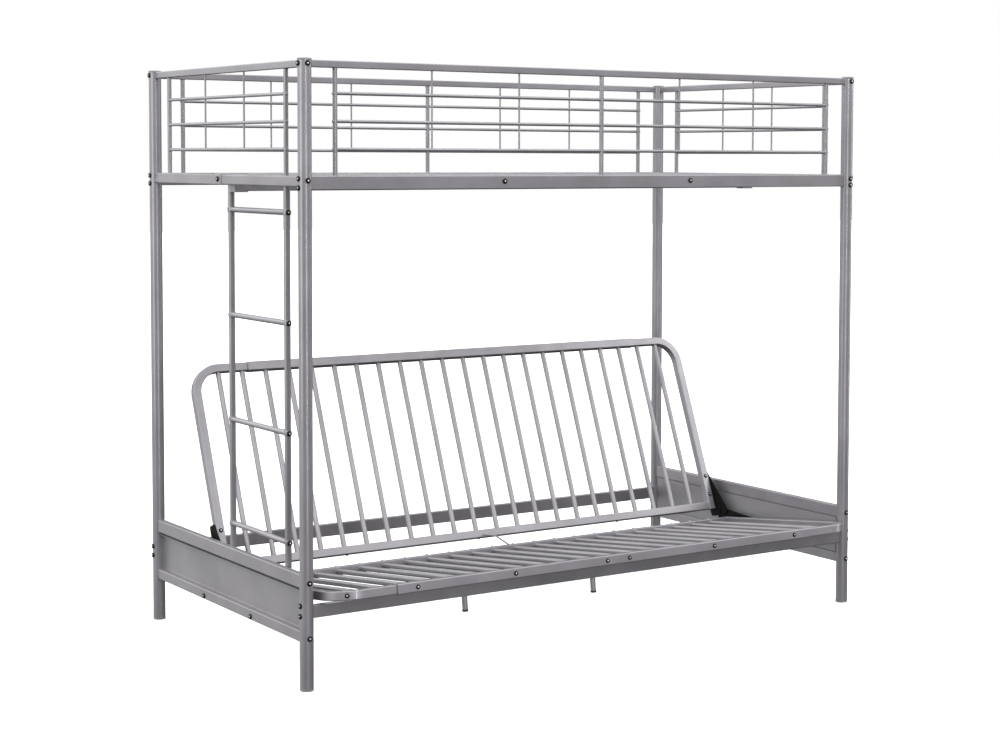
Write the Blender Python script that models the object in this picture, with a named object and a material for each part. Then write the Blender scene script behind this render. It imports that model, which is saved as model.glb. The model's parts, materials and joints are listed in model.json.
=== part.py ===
"""Loft bed over a folding futon, in round, square and rectangular steel tube.

Four full-height posts carry a bunk with guards and an end ladder. Below it, two panelled arms
and two lower rails hold a futon: a slatted seat and a slatted back that share one pivot line.
The pivot rides forward and up in inclined slots, and seat and back unfold into one flat bed.

Units are metres. +Z is up and the front of the bed faces -Y. All places are taken from the middle
of the four posts, and one empty moves the whole bed so that its own box is centred.
The seat and the back are each modelled lying flat, round their pivot, and turned by an empty.
"""

import math

import bmesh
import bpy
from mathutils import Matrix, Vector

MM = 0.001

# Overall sizes, over the posts and to the cap tops
LENGTH = 1980 * MM
WIDTH = 1042 * MM
HEIGHT = 1705 * MM

# Shared fits and facets
GAP = 0.3 * MM
OVERRUN = 4 * MM
BORE_PLAY = 0.35 * MM
POST_SIDES = 18
TUBE_SIDES = 12
SLAT_SIDES = 12
ROD_SIDES = 6
WIRE_SIDES = 4
PIN_SIDES = 10
BEND_STEPS = 6
CORNER_STEPS = 1
SMOOTH_ANGLE = math.radians(40)

# Posts
POST_OD = 38 * MM
POST_WALL = 1.2 * MM
CAP_OD = 40 * MM
CAP_RIM = 2.5 * MM
CAP_RISE = 5 * MM
CAP_SHOULDER_SHARE = 0.84
CAP_FLAT_SHARE = 0.5
PLUG_LENGTH = 16 * MM
FOOT_HEIGHT = 6 * MM
FOOT_ROUNDING = 1.8 * MM

# Bunk rails
RAIL_WALL = 1.2 * MM
RAIL_CORNER = 2.5 * MM
BUNK_RAIL_HEIGHT = 38 * MM
SIDE_RAIL_THICK = 15 * MM
END_RAIL_THICK = 20 * MM
SPLICE_PLACE = 25 * MM
SPLICE_LENGTH = 60 * MM

# Guards
GUARD_SET = 5 * MM
GUARD_HEIGHT = 309 * MM
GUARD_RAIL_HEIGHT = 20 * MM
GUARD_RAIL_THICK = 15 * MM
ROD_OD = 9.5 * MM
ROD_PITCH = 75 * MM
ROD_COUNT = 3
LOW_ROD_RISE = 71 * MM
UPRIGHT_OD = 13 * MM
LONG_UPRIGHT_INSET = 91 * MM
SHORT_UPRIGHT_INSET = 110 * MM
WIRE_OD = 5.5 * MM
LONG_WIRE_SHARE = 0.3284
SHORT_WIRE_SHARE = 0.3316

# Bunk slat deck and its centre beam
DECK_SLAT_COUNT = 16
DECK_SLAT_WIDTH = 30 * MM
DECK_SLAT_HEIGHT = 10 * MM
DECK_SLAT_WALL = 1.2 * MM
DECK_SLAT_MARGIN = 60 * MM
DECK_BAR_HEIGHT = 22 * MM
DECK_BAR_THICK = 2.5 * MM
BEAM_THICK = 20 * MM
BEAM_DROP = 48 * MM
BEAM_SET = 28 * MM
BRACKET_THICK = 2.5 * MM
BRACKET_WIDTH = 34 * MM
BRACKET_SHELF = 42 * MM

# Ladder
STILE_OD = 19 * MM
STILE_WALL = 1.2 * MM
STILE_REAR = 0 * MM
STILE_SPACING = 355 * MM
STILE_DROP = 28 * MM
STILE_TOP_SET = 8 * MM
RUNG_OD = 14.5 * MM
RUNG_COUNT = 4
RUNG_TOP_SET = 93 * MM
RUNG_RISE = 63.5 * MM

# Lower end arms and rails
ARM_THICK = 20 * MM
ARM_TOP = 314.5 * MM
ARM_RAIL_HEIGHT = 37.5 * MM
ARM_LOW_TOP = 160 * MM
ARM_LOW_HEIGHT = 30 * MM
PANEL_DEPTH = 17 * MM
PANEL_WALL = 1.2 * MM
PANEL_FLANGE = 7 * MM
REAR_RAIL_HEIGHT = 41 * MM
FRONT_RAIL_HEIGHT = 36 * MM
FRONT_RAIL_CLEAR = 13.5 * MM

# Futon frame, shared by seat and back
FUTON_TUBE_WIDTH = 25.4 * MM
FUTON_TUBE_CORNER = 3 * MM
FUTON_TUBE_WALL = 1.2 * MM
SLEEVE_WIDTH = 28.6 * MM
SLEEVE_CORNER = 4 * MM
SLEEVE_WALL = 1.2 * MM
SLEEVE_INSET = 179 * MM
SLEEVE_OVERLAP = 30 * MM
FUTON_INSET = 49 * MM
BEND_RADIUS = 80 * MM
SLAT_OD = 15.9 * MM
SLAT_MARGIN = 82 * MM
SLAT_COUNT = 22
PIVOT_HEIGHT = 28 * MM
SEAT_OVERHANG = 85 * MM
SEAT_REAR = 53 * MM
BACK_LOW = 28.6 * MM
BACK_SET = 2 * MM

# Sofa pose and the travel to the bed pose
PIVOT_Y = 86 * MM
PIVOT_Z = 211 * MM
SEAT_TILT = math.radians(6.95)
BACK_RAISE = math.radians(68.2)
TRAVEL_FORWARD = 221 * MM
TRAVEL_UP = 70 * MM

# Hinge hardware, in thin layers outside the side tubes
PLATE_THICK = 4 * MM
PLATE_CLEAR = 0.6 * MM
PIN_RADIUS = 4 * MM
PIN_HEAD_RADIUS = 8 * MM
PIN_HEAD_THICK = 3 * MM
PLATE_ROUND = 14 * MM
BOSS_RADIUS = 6 * MM
EAR_LENGTH = 165 * MM
EAR_BOSSES = (75 * MM, 150 * MM)
HINGE_LENGTH = 155 * MM
HINGE_BACK = 55 * MM
HINGE_FRONT = 42 * MM
CARRIER_DROP = 75 * MM
CARRIER_FOOT = 10 * MM
GUIDE_PIN_REACH = 18 * MM
GUIDE_THICK = 3 * MM
GUIDE_BORDER = 6.5 * MM
GUIDE_BOLT_REAR = 169 * MM
GUIDE_BOLT_FRONT = 148 * MM
GUIDE_BOLT_SET = 20 * MM
GUIDE_BOLT_EDGE = 18 * MM

# Centre leg and wire link
LEG_OD = 17.5 * MM
LEG_WALL = 1.2 * MM
LEG_PLACE = 241 * MM
LEG_SET = 198 * MM
LEG_REACH = 186 * MM
LEG_BEND = 40 * MM
LEG_CAP_HEIGHT = 7 * MM
LEG_CAP_OD = 19 * MM
LEG_PLUG_LENGTH = 12 * MM
LINK_OD = 5 * MM
LINK_CLEAR = 1.5 * MM

# Places that follow from the sizes above
POST_R = POST_OD / 2
POST_X = LENGTH / 2 - POST_R
POST_Y = WIDTH / 2 - POST_R
POST_TOP = HEIGHT - CAP_RISE
GUARD_TOP = HEIGHT - GUARD_SET
BUNK_RAIL_TOP = GUARD_TOP - GUARD_HEIGHT
BEAM_BOTTOM = BUNK_RAIL_TOP - BEAM_DROP
LONG_UPRIGHT_PLACE = POST_X - LONG_UPRIGHT_INSET
SHORT_UPRIGHT_PLACE = POST_Y - SHORT_UPRIGHT_INSET
RUNG_LOW = ARM_TOP + RUNG_RISE
RUNG_HIGH = BUNK_RAIL_TOP - STILE_TOP_SET - RUNG_TOP_SET
RUNG_PITCH = (RUNG_HIGH - RUNG_LOW) / (RUNG_COUNT - 1)
GUIDE_BOLT_Z = ARM_LOW_TOP - GUIDE_BOLT_SET
TUBE_HALF = FUTON_TUBE_WIDTH / 2
SLEEVE_HALF = SLEEVE_WIDTH / 2
SLAT_R = SLAT_OD / 2
FUTON_AXIS = POST_X - FUTON_INSET
SLEEVE_REACH = FUTON_AXIS - SLEEVE_INSET
SLAT_PITCH = 2 * (FUTON_AXIS - SLAT_MARGIN) / (SLAT_COUNT - 1)
SEAT_FRONT = PIVOT_Y + POST_Y + SEAT_OVERHANG
BACK_HIGH = POST_Y + TRAVEL_FORWARD - PIVOT_Y - BACK_SET
FRONT_RAIL_TOP = (PIVOT_Z + (POST_Y + PIVOT_Y) * math.tan(SEAT_TILT) - FRONT_RAIL_CLEAR
                  - (PIVOT_HEIGHT + SLAT_R) / math.cos(SEAT_TILT))
TRAVEL = math.hypot(TRAVEL_FORWARD, TRAVEL_UP)
BED_PLANE_Z = PIVOT_Z + TRAVEL_UP - PIVOT_HEIGHT
REAR_RAIL_TOP = BED_PLANE_Z - SLEEVE_HALF - GAP
ARM_INNER_X = POST_X - ARM_THICK / 2
HINGE_X = FUTON_AXIS + TUBE_HALF + GAP
EAR_X = HINGE_X + PLATE_THICK + PLATE_CLEAR
CARRIER_X = EAR_X + PLATE_THICK + PLATE_CLEAR
GUIDE_X = CARRIER_X + PLATE_THICK + PLATE_CLEAR
SEAT_EDGE = SEAT_FRONT + SLEEVE_HALF
SEAT_EDGE_DROP = PIVOT_HEIGHT + SLEEVE_HALF - SLEEVE_CORNER
SEAT_FRONT_Y = PIVOT_Y - SEAT_EDGE * math.cos(SEAT_TILT) - SEAT_EDGE_DROP * math.sin(SEAT_TILT)
CAP_EDGE_Y = POST_Y + CAP_OD / 2
CENTRE_Y = -(SEAT_FRONT_Y + CAP_EDGE_Y) / 2

X_AXIS = Vector((1, 0, 0))
Y_AXIS = Vector((0, 1, 0))
Z_AXIS = Vector((0, 0, 1))

# Finishes: colour, metallic, roughness
SILVER = ((0.33, 0.32, 0.34), 0.55, 0.38)
SHEET_SILVER = ((0.35, 0.35, 0.36), 0.45, 0.48)
BLACK_STEEL = ((0.012, 0.012, 0.013), 0.3, 0.45)
BLACK_PLASTIC = ((0.015, 0.015, 0.016), 0.0, 0.5)
GREY_PLASTIC = ((0.28, 0.28, 0.29), 0.0, 0.5)


def clear_scene():
    """Empties the file of objects."""
    for old in list(bpy.data.objects):
        bpy.data.objects.remove(old, do_unlink=True)


def material(name, finish):
    """One Principled material for one sub-part."""
    colour, metallic, roughness = finish
    made = bpy.data.materials.new(name)
    made.use_nodes = True
    shader = made.node_tree.nodes["Principled BSDF"]
    shader.inputs["Base Color"].default_value = (*colour, 1)
    shader.inputs["Metallic"].default_value = metallic
    shader.inputs["Roughness"].default_value = roughness
    return made


def empty(name, parent, location, turn=0):
    """A named frame for other pieces, turned about X."""
    frame = bpy.data.objects.new(name, None)
    frame.parent = parent
    frame.location = location
    frame.rotation_euler = (turn, 0, 0)
    bpy.context.scene.collection.objects.link(frame)
    return frame


def mesh_from(name, bm):
    """Turns a bmesh into a smooth-shaded mesh with its faces pointing out."""
    bmesh.ops.recalc_face_normals(bm, faces=bm.faces)
    mesh = bpy.data.meshes.new(name)
    bm.to_mesh(mesh)
    bm.free()
    mesh.shade_smooth()
    mesh.set_sharp_from_angle(angle=SMOOTH_ANGLE)
    return mesh


def place(name, mesh, finish, parent, location=(0, 0, 0), turn_z=0):
    """Places a mesh as one named piece of the bed."""
    piece = bpy.data.objects.new(name, mesh)
    piece.parent = parent
    piece.location = location
    piece.rotation_euler = (0, 0, turn_z)
    bpy.context.scene.collection.objects.link(piece)
    if not mesh.materials:
        mesh.materials.append(material(name, finish))
    return piece


def combine(piece, name, bm, operation):
    """Adds a wire-drawn guide shape in the piece's own frame, and joins it to or cuts it from the piece."""
    guide = bpy.data.objects.new(name, mesh_from(name, bm))
    guide.parent = piece.parent
    guide.location = piece.location
    guide.rotation_euler = piece.rotation_euler
    guide.hide_render = True
    guide.display_type = "WIRE"
    bpy.context.scene.collection.objects.link(guide)
    step = piece.modifiers.new(name, "BOOLEAN")
    step.operation = operation
    step.solver = "EXACT"
    step.object = guide
    return guide


def round_section(radius, sides):
    """Outline of a round bar, with a flat at the bottom and the top."""
    turn = 2 * math.pi / sides
    return [(radius * math.cos(turn * (i + 0.5)), radius * math.sin(turn * (i + 0.5))) for i in range(sides)]


def box_section(width, height, corner):
    """Outline of a rectangular tube with rounded corners."""
    outline = []
    for quarter, (sx, sy) in enumerate(((1, 1), (-1, 1), (-1, -1), (1, -1))):
        middle = Vector((sx * (width / 2 - corner), sy * (height / 2 - corner)))
        for step in range(CORNER_STEPS + 1):
            angle = math.pi / 2 * (quarter + step / CORNER_STEPS)
            outline.append((middle.x + corner * math.cos(angle), middle.y + corner * math.sin(angle)))
    return outline


def square_sections(width, corner, wall):
    """Outer and inner outline of a square tube."""
    return box_section(width, width, corner), box_section(width - 2 * wall, width - 2 * wall, corner - wall)


def channel_section(width, height, wall):
    """Outline of a folded channel that is open below."""
    half = width / 2
    inner = half - wall
    return [(-half, -height), (-inner, -height), (-inner, -wall), (inner, -wall),
            (inner, -height), (half, -height), (half, 0), (-half, 0)]


def station_frame(point, ahead, side, scale=1):
    """Frame of one outline on its path: u along side, v across, w ahead."""
    across = ahead.cross(side).normalized()
    turned = Matrix((side, across, ahead)).transposed().to_4x4()
    return Matrix.Translation(point) @ turned @ Matrix.Scale(scale, 4)


def skin(bm, near, far):
    """Faces between two rings with the same number of corners."""
    for index, corner in enumerate(near):
        bm.faces.new((near[index - 1], corner, far[index], far[index - 1]))


def sweep(bm, stations, side, section):
    """Carries an outline from station to station, and returns its first and last rings."""
    rings = []
    for point, ahead, *scale in stations:
        frame = station_frame(point, ahead, side, *scale)
        rings.append([bm.verts.new(frame @ Vector((u, v, 0))) for u, v in section])
    for near, far in zip(rings, rings[1:]):
        skin(bm, near, far)
    return rings[0], rings[-1]


def add_bar(bm, stations, side, outer, inner=None):
    """A solid bar, or with a second outline a tube that is open at both ends."""
    rims = sweep(bm, stations, side, outer)
    if inner is None:
        for rim in rims:
            bm.faces.new(rim)
        return
    for rim, bore in zip(rims, sweep(bm, stations, side, inner)):
        skin(bm, rim, bore)


def flat_radius(radius, sides):
    """How far the flats of a round section lie from its middle."""
    return radius * math.cos(math.pi / sides)


def straight(start, end):
    """Stations of a straight run."""
    start = Vector(start)
    end = Vector(end)
    ahead = (end - start).normalized()
    return [(start, ahead), (end, ahead)]


def bent(points, radius):
    """Stations along straight runs joined by round bends."""
    points = [Vector(point) for point in points]
    stations = [(points[0], (points[1] - points[0]).normalized())]
    for before, corner, after in zip(points, points[1:], points[2:]):
        entry = (corner - before).normalized()
        leaving = (after - corner).normalized()
        angle = entry.angle(leaving)
        inward = (leaving - entry * entry.dot(leaving)).normalized()
        start = corner - entry * radius * math.tan(angle / 2)
        centre = start + inward * radius
        for step in range(BEND_STEPS + 1):
            turn = angle * step / BEND_STEPS
            spot = centre + (entry * math.sin(turn) - inward * math.cos(turn)) * radius
            stations.append((spot, (entry * math.cos(turn) + inward * math.sin(turn)).normalized()))
    stations.append((points[-1], (points[-1] - points[-2]).normalized()))
    return stations


def turned_mesh(name, profile, sides, base=(0, 0, 0), axis=Z_AXIS, side=X_AXIS):
    """A turned piece from (radius, height) pairs along its axis."""
    bm = bmesh.new()
    stations = [(Vector(base) + axis * height, axis, radius) for radius, height in profile]
    add_bar(bm, stations, side, round_section(1, sides))
    return mesh_from(name, bm)


def add_plate(bm, outline, near, thick):
    """A flat plate: an outline in Y and Z, extruded along X from near."""
    corners = [bm.verts.new((near, y, z)) for y, z in outline]
    face = bm.faces.new(corners)
    grown = bmesh.ops.extrude_face_region(bm, geom=[face], use_keep_orig=True)["geom"]
    bmesh.ops.translate(bm, vec=(thick, 0, 0), verts=[v for v in grown if isinstance(v, bmesh.types.BMVert)])


def cylinder_bm(start, end, radius, sides):
    """A solid cylinder between two points."""
    bm = bmesh.new()
    start = Vector(start)
    end = Vector(end)
    ahead = (end - start).normalized()
    side = X_AXIS if abs(ahead.x) < 0.5 else Y_AXIS
    add_bar(bm, straight(start, end), side, round_section(radius, sides))
    return bm


def hull_outline(circles, steps):
    """Outline of a plate that wraps round circles (y, z, radius), as a belt would."""
    cloud = bmesh.new()
    for y, z, radius in circles:
        for step in range(steps):
            angle = 2 * math.pi * step / steps
            cloud.verts.new((0, y + radius * math.cos(angle), z + radius * math.sin(angle)))
    points = sorted((v.co.y, v.co.z) for v in cloud.verts)
    cloud.free()
    return lower_chain(points)[:-1] + lower_chain(points[::-1])[:-1]


def lower_chain(points):
    """One half of the convex outline of sorted points."""
    chain = []
    for point in points:
        while len(chain) > 1 and turn_of(chain[-2], chain[-1], point) <= 0:
            chain.pop()
        chain.append(point)
    return chain


def turn_of(a, b, c):
    """Positive where the way from a by b to c turns left."""
    return (b[0] - a[0]) * (c[1] - a[1]) - (b[1] - a[1]) * (c[0] - a[0])


def cope_on_posts(piece, half_span, height, along=X_AXIS):
    """Cuts both ends of a rail to the round of the posts, with a hair of clearance."""
    for end, name in ((-1, "low"), (1, "high")):
        foot = along * (end * half_span) - Z_AXIS * height
        head = along * (end * half_span) + Z_AXIS * height
        cope = cylinder_bm(foot, head, POST_R + GAP, POST_SIDES)
        combine(piece, f"{piece.name}_cope_{name}", cope, "DIFFERENCE")


def rail(name, half_span, centre, along, thick, height, wall, parent):
    """A rectangular tube between two posts, coped at both ends."""
    bm = bmesh.new()
    side = along.cross(Z_AXIS)
    outer = box_section(thick, height, RAIL_CORNER)
    inner = box_section(thick - 2 * wall, height - 2 * wall, RAIL_CORNER - wall)
    reach = half_span - POST_R / 2
    add_bar(bm, straight(-along * reach, along * reach), side, outer, inner)
    piece = place(name, mesh_from(name, bm), SILVER, parent, centre)
    cope_on_posts(piece, half_span, height, along)
    return piece


def corners():
    """The four post places, each with its name."""
    for y_name, y in (("front", -POST_Y), ("rear", POST_Y)):
        for x_name, x in (("left", -POST_X), ("right", POST_X)):
            yield f"{y_name}_{x_name}", x, y


def make_posts(bed):
    """Four round posts, each with a domed cap and a moulded foot."""
    bm = bmesh.new()
    bore = POST_R - POST_WALL
    run = straight((0, 0, FOOT_HEIGHT + GAP), (0, 0, POST_TOP))
    add_bar(bm, run, X_AXIS, round_section(POST_R, POST_SIDES), round_section(bore, POST_SIDES))
    post = mesh_from("post", bm)
    plug = bore - GAP
    cap_r = CAP_OD / 2
    rim = POST_TOP + GAP
    rise = HEIGHT - rim
    cap = turned_mesh("post_cap", (
        (plug, rim - PLUG_LENGTH), (plug, rim), (cap_r, rim), (cap_r, rim + CAP_RIM),
        (cap_r - (rise - CAP_RIM), rim + rise * CAP_SHOULDER_SHARE), (cap_r * CAP_FLAT_SHARE, HEIGHT)), POST_SIDES)
    foot = turned_mesh("foot", (
        (POST_R - FOOT_ROUNDING, 0), (POST_R, FOOT_ROUNDING), (POST_R, FOOT_HEIGHT), (plug, FOOT_HEIGHT),
        (plug, FOOT_HEIGHT + PLUG_LENGTH)), POST_SIDES)
    for spot, x, y in corners():
        place(f"post_{spot}", post, SILVER, bed, (x, y, 0))
        place(f"post_cap_{spot}", cap, GREY_PLASTIC, bed, (x, y, 0))
        place(f"foot_{spot}", foot, GREY_PLASTIC, bed, (x, y, 0))


def make_bunk_rails(bed):
    """Side rails of the bunk, the right end rail, and the left end rail in two spliced halves."""
    middle_z = BUNK_RAIL_TOP - BUNK_RAIL_HEIGHT / 2
    for name, y in (("front", -POST_Y), ("rear", POST_Y)):
        rail(f"bunk_rail_{name}", POST_X, (0, y, middle_z), X_AXIS,
             SIDE_RAIL_THICK, BUNK_RAIL_HEIGHT, RAIL_WALL, bed)
    rail("bunk_end_rail_right", POST_Y, (POST_X, 0, middle_z), Y_AXIS,
         END_RAIL_THICK, BUNK_RAIL_HEIGHT, RAIL_WALL, bed)
    make_left_end_rail(bed, middle_z)


def make_left_end_rail(bed, middle_z):
    """The left end rail: the rear half is open, and the front half's tongue slides into it."""
    outer = box_section(END_RAIL_THICK, BUNK_RAIL_HEIGHT, RAIL_CORNER)
    inner = box_section(END_RAIL_THICK - 2 * RAIL_WALL, BUNK_RAIL_HEIGHT - 2 * RAIL_WALL, RAIL_CORNER - RAIL_WALL)
    reach = POST_Y - POST_R / 2
    rear = bmesh.new()
    add_bar(rear, straight((0, SPLICE_PLACE + GAP, 0), (0, reach, 0)), X_AXIS, outer, inner)
    front = bmesh.new()
    add_bar(front, straight((0, -reach, 0), (0, SPLICE_PLACE, 0)), X_AXIS, outer, inner)
    tongue = bmesh.new()
    slim = 2 * (RAIL_WALL + GAP)
    tongue_outer = box_section(END_RAIL_THICK - slim, BUNK_RAIL_HEIGHT - slim, RAIL_CORNER / 2)
    slimmer = slim + 2 * RAIL_WALL
    tongue_inner = box_section(END_RAIL_THICK - slimmer, BUNK_RAIL_HEIGHT - slimmer, RAIL_CORNER / 4)
    root = SPLICE_PLACE - SPLICE_LENGTH / 2
    tip = SPLICE_PLACE + SPLICE_LENGTH
    add_bar(tongue, straight((0, root, 0), (0, tip, 0)), X_AXIS, tongue_outer, tongue_inner)
    halves = {}
    for name, bm in (("rear", rear), ("front", front)):
        label = f"bunk_end_rail_left_{name}"
        halves[name] = place(label, mesh_from(label, bm), SILVER, bed, (-POST_X, 0, middle_z))
        cope_on_posts(halves[name], POST_Y, BUNK_RAIL_HEIGHT, Y_AXIS)
    weld = bmesh.new()
    add_bar(weld, straight((0, root, 0), (0, SPLICE_PLACE - GAP, 0)), X_AXIS,
            box_section(END_RAIL_THICK - RAIL_WALL, BUNK_RAIL_HEIGHT - RAIL_WALL, RAIL_CORNER / 2), tongue_inner)
    combine(halves["front"], "end_rail_splice_root", weld, "UNION")
    combine(halves["front"], "end_rail_splice_tongue", tongue, "UNION")


def guard(name, half_span, along, uprights, wires, centre, parent):
    """A welded guard: top rail, uprights, three rods and thin wires."""
    side = along.cross(Z_AXIS)
    top = GUARD_TOP - GUARD_RAIL_HEIGHT / 2 - centre[2]
    under = top - GUARD_RAIL_HEIGHT / 2 + RAIL_WALL / 2
    floor = BUNK_RAIL_TOP + GAP - centre[2]
    low_rod = floor + LOW_ROD_RISE
    bm = bmesh.new()
    outer = box_section(GUARD_RAIL_THICK, GUARD_RAIL_HEIGHT, RAIL_CORNER)
    inner = box_section(GUARD_RAIL_THICK - 2 * RAIL_WALL, GUARD_RAIL_HEIGHT - 2 * RAIL_WALL, RAIL_CORNER - RAIL_WALL)
    reach = along * (half_span - POST_R / 2)
    add_bar(bm, straight(Z_AXIS * top - reach, Z_AXIS * top + reach), side, outer, inner)
    piece = place(name, mesh_from(name, bm), SILVER, parent, centre)
    posts = bmesh.new()
    for spot in uprights:
        foot = along * spot
        add_bar(posts, straight(foot + Z_AXIS * floor, foot + Z_AXIS * under), side,
                round_section(UPRIGHT_OD / 2, SLAT_SIDES))
    combine(piece, f"{name}_uprights", posts, "UNION")
    rods = bmesh.new()
    for row in range(ROD_COUNT):
        level = Z_AXIS * (low_rod + row * ROD_PITCH)
        run = straight(level + along * uprights[0], level + along * uprights[-1])
        add_bar(rods, run, side, round_section(ROD_OD / 2, ROD_SIDES))
    combine(piece, f"{name}_rods", rods, "UNION")
    thin = bmesh.new()
    for spot in wires:
        foot = along * spot
        add_bar(thin, straight(foot + Z_AXIS * low_rod, foot + Z_AXIS * under), side,
                round_section(WIRE_OD / 2, WIRE_SIDES))
    combine(piece, f"{name}_wires", thin, "UNION")
    cope_on_posts(piece, half_span, HEIGHT, along)
    return piece


def make_guards(bed):
    """Guards on all four sides of the bunk."""
    level = BUNK_RAIL_TOP
    long_uprights = (-LONG_UPRIGHT_PLACE, 0, LONG_UPRIGHT_PLACE)
    long_wires = [step * LONG_WIRE_SHARE * LONG_UPRIGHT_PLACE for step in (-2, -1, 1, 2)]
    for name, y in (("front", -POST_Y), ("rear", POST_Y)):
        guard(f"guard_{name}", POST_X, X_AXIS, long_uprights, long_wires, (0, y, level), bed)
    short_uprights = (-SHORT_UPRIGHT_PLACE, SHORT_UPRIGHT_PLACE)
    short_wires = [step * SHORT_WIRE_SHARE * SHORT_UPRIGHT_PLACE for step in (-1, 1)]
    for name, x in (("left", -POST_X), ("right", POST_X)):
        guard(f"guard_{name}", POST_Y, Y_AXIS, short_uprights, short_wires, (x, 0, level), bed)


def make_deck(bed):
    """The bunk's slat deck: folded slats between two flat bars bolted inside the side rails."""
    bar_y = POST_Y - SIDE_RAIL_THICK / 2 - GAP - DECK_BAR_THICK / 2
    bar_half = POST_X - POST_R - END_RAIL_THICK / 2
    bars = bmesh.new()
    section = [(-DECK_BAR_THICK / 2, -DECK_BAR_HEIGHT), (DECK_BAR_THICK / 2, -DECK_BAR_HEIGHT),
               (DECK_BAR_THICK / 2, 0), (-DECK_BAR_THICK / 2, 0)]
    for y in (-bar_y, bar_y):
        add_bar(bars, straight((-bar_half, y, 0), (bar_half, y, 0)), Y_AXIS, section)
    deck = place("bunk_slat_deck", mesh_from("bunk_slat_deck", bars), SILVER, bed, (0, 0, BUNK_RAIL_TOP))
    slats = bmesh.new()
    outline = channel_section(DECK_SLAT_WIDTH, DECK_SLAT_HEIGHT, DECK_SLAT_WALL)
    outer_slat = bar_half - DECK_SLAT_MARGIN
    pitch = 2 * outer_slat / (DECK_SLAT_COUNT - 1)
    for index in range(DECK_SLAT_COUNT):
        x = -outer_slat + index * pitch
        run = straight((x, -bar_y, -GAP), (x, bar_y, -GAP))
        add_bar(slats, run, -X_AXIS, outline)
    combine(deck, "deck_slats", slats, "UNION")


def make_centre_beam(bed):
    """A beam along the bunk under the slats, on a bracket at each end rail."""
    top = BUNK_RAIL_TOP - DECK_SLAT_HEIGHT - 2 * GAP
    height = top - BEAM_BOTTOM
    end = POST_X - END_RAIL_THICK / 2 - BRACKET_THICK - 2 * GAP
    bm = bmesh.new()
    outer = box_section(BEAM_THICK, height, RAIL_CORNER)
    inner = box_section(BEAM_THICK - 2 * RAIL_WALL, height - 2 * RAIL_WALL, RAIL_CORNER - RAIL_WALL)
    add_bar(bm, straight((-end, 0, 0), (end, 0, 0)), -Y_AXIS, outer, inner)
    place("centre_beam", mesh_from("centre_beam", bm), SILVER, bed, (0, -BEAM_SET, top - height / 2))
    for name, sign in (("left", -1), ("right", 1)):
        make_beam_bracket(f"beam_bracket_{name}", sign, end, bed)


def make_beam_bracket(name, sign, end, bed):
    """A folded bracket: a plate on the end rail, a shelf under the beam, and a sloping web beside it."""
    plate_top = BUNK_RAIL_TOP - DECK_SLAT_HEIGHT - 2 * GAP
    shelf_top = BEAM_BOTTOM - GAP
    inner = end + GAP
    outer = inner + BRACKET_THICK
    half = BRACKET_WIDTH / 2
    bm = bmesh.new()
    bmesh.ops.create_cube(bm, size=1, matrix=box_matrix(
        (inner, -half, shelf_top - BRACKET_THICK), (outer, half, plate_top)))
    piece = place(name, mesh_from(name, bm), SILVER, bed, (0, -BEAM_SET, 0), 0 if sign > 0 else math.pi)
    shelf = bmesh.new()
    bmesh.ops.create_cube(shelf, size=1, matrix=box_matrix(
        (outer - BRACKET_SHELF, -half, shelf_top - BRACKET_THICK), (inner + BRACKET_THICK / 2, half, shelf_top)))
    combine(piece, f"{name}_shelf", shelf, "UNION")
    web = bmesh.new()
    root = inner + BRACKET_THICK / 2
    sole = shelf_top - BRACKET_THICK / 2
    for y in (-half, half - BRACKET_THICK):
        corners_ = [(root, y, sole), (root, y, BEAM_BOTTOM + BRACKET_SHELF / 2), (outer - BRACKET_SHELF, y, sole)]
        face = web.faces.new([web.verts.new(corner) for corner in corners_])
        grown = bmesh.ops.extrude_face_region(web, geom=[face], use_keep_orig=True)["geom"]
        bmesh.ops.translate(web, vec=(0, BRACKET_THICK, 0), verts=[v for v in grown if isinstance(v, bmesh.types.BMVert)])
    combine(piece, f"{name}_web", web, "UNION")


def box_matrix(low, high):
    """Matrix that carries a unit cube to the box from low to high."""
    low = Vector(low)
    high = Vector(high)
    return Matrix.Translation((low + high) / 2) @ Matrix.Diagonal((*(high - low), 1))


def make_ladder(bed):
    """Two stiles inside the left end, and four rungs bolted between them."""
    x = -(ARM_INNER_X - GAP - STILE_OD / 2)
    foot = ARM_TOP - STILE_DROP
    head = BUNK_RAIL_TOP - STILE_TOP_SET
    bm = bmesh.new()
    add_bar(bm, straight((0, 0, foot), (0, 0, head)), X_AXIS, round_section(STILE_OD / 2, TUBE_SIDES),
            round_section(STILE_OD / 2 - STILE_WALL, TUBE_SIDES))
    stile = mesh_from("ladder_stile", bm)
    front = STILE_REAR - STILE_SPACING
    for name, y in (("rear", STILE_REAR), ("front", front)):
        place(f"ladder_stile_{name}", stile, SILVER, bed, (x, y, 0))
    half = STILE_SPACING / 2
    for number in range(RUNG_COUNT):
        make_rung(f"ladder_rung_{number + 1}", half, (x, STILE_REAR - half, RUNG_LOW + number * RUNG_PITCH), bed)


def make_rung(name, half, centre, bed):
    """A rung whose ends are shaped to the stiles."""
    bm = bmesh.new()
    reach = half - STILE_OD / 4
    add_bar(bm, straight((0, -reach, 0), (0, reach, 0)), X_AXIS, round_section(RUNG_OD / 2, SLAT_SIDES),
            round_section(RUNG_OD / 2 - STILE_WALL, SLAT_SIDES))
    rung = place(name, mesh_from(name, bm), SILVER, bed, centre)
    for end, label in ((-1, "front"), (1, "rear")):
        cut = cylinder_bm((0, end * half, -STILE_OD), (0, end * half, STILE_OD), STILE_OD / 2 + GAP, TUBE_SIDES)
        combine(rung, f"{name}_cope_{label}", cut, "DIFFERENCE")


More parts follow.
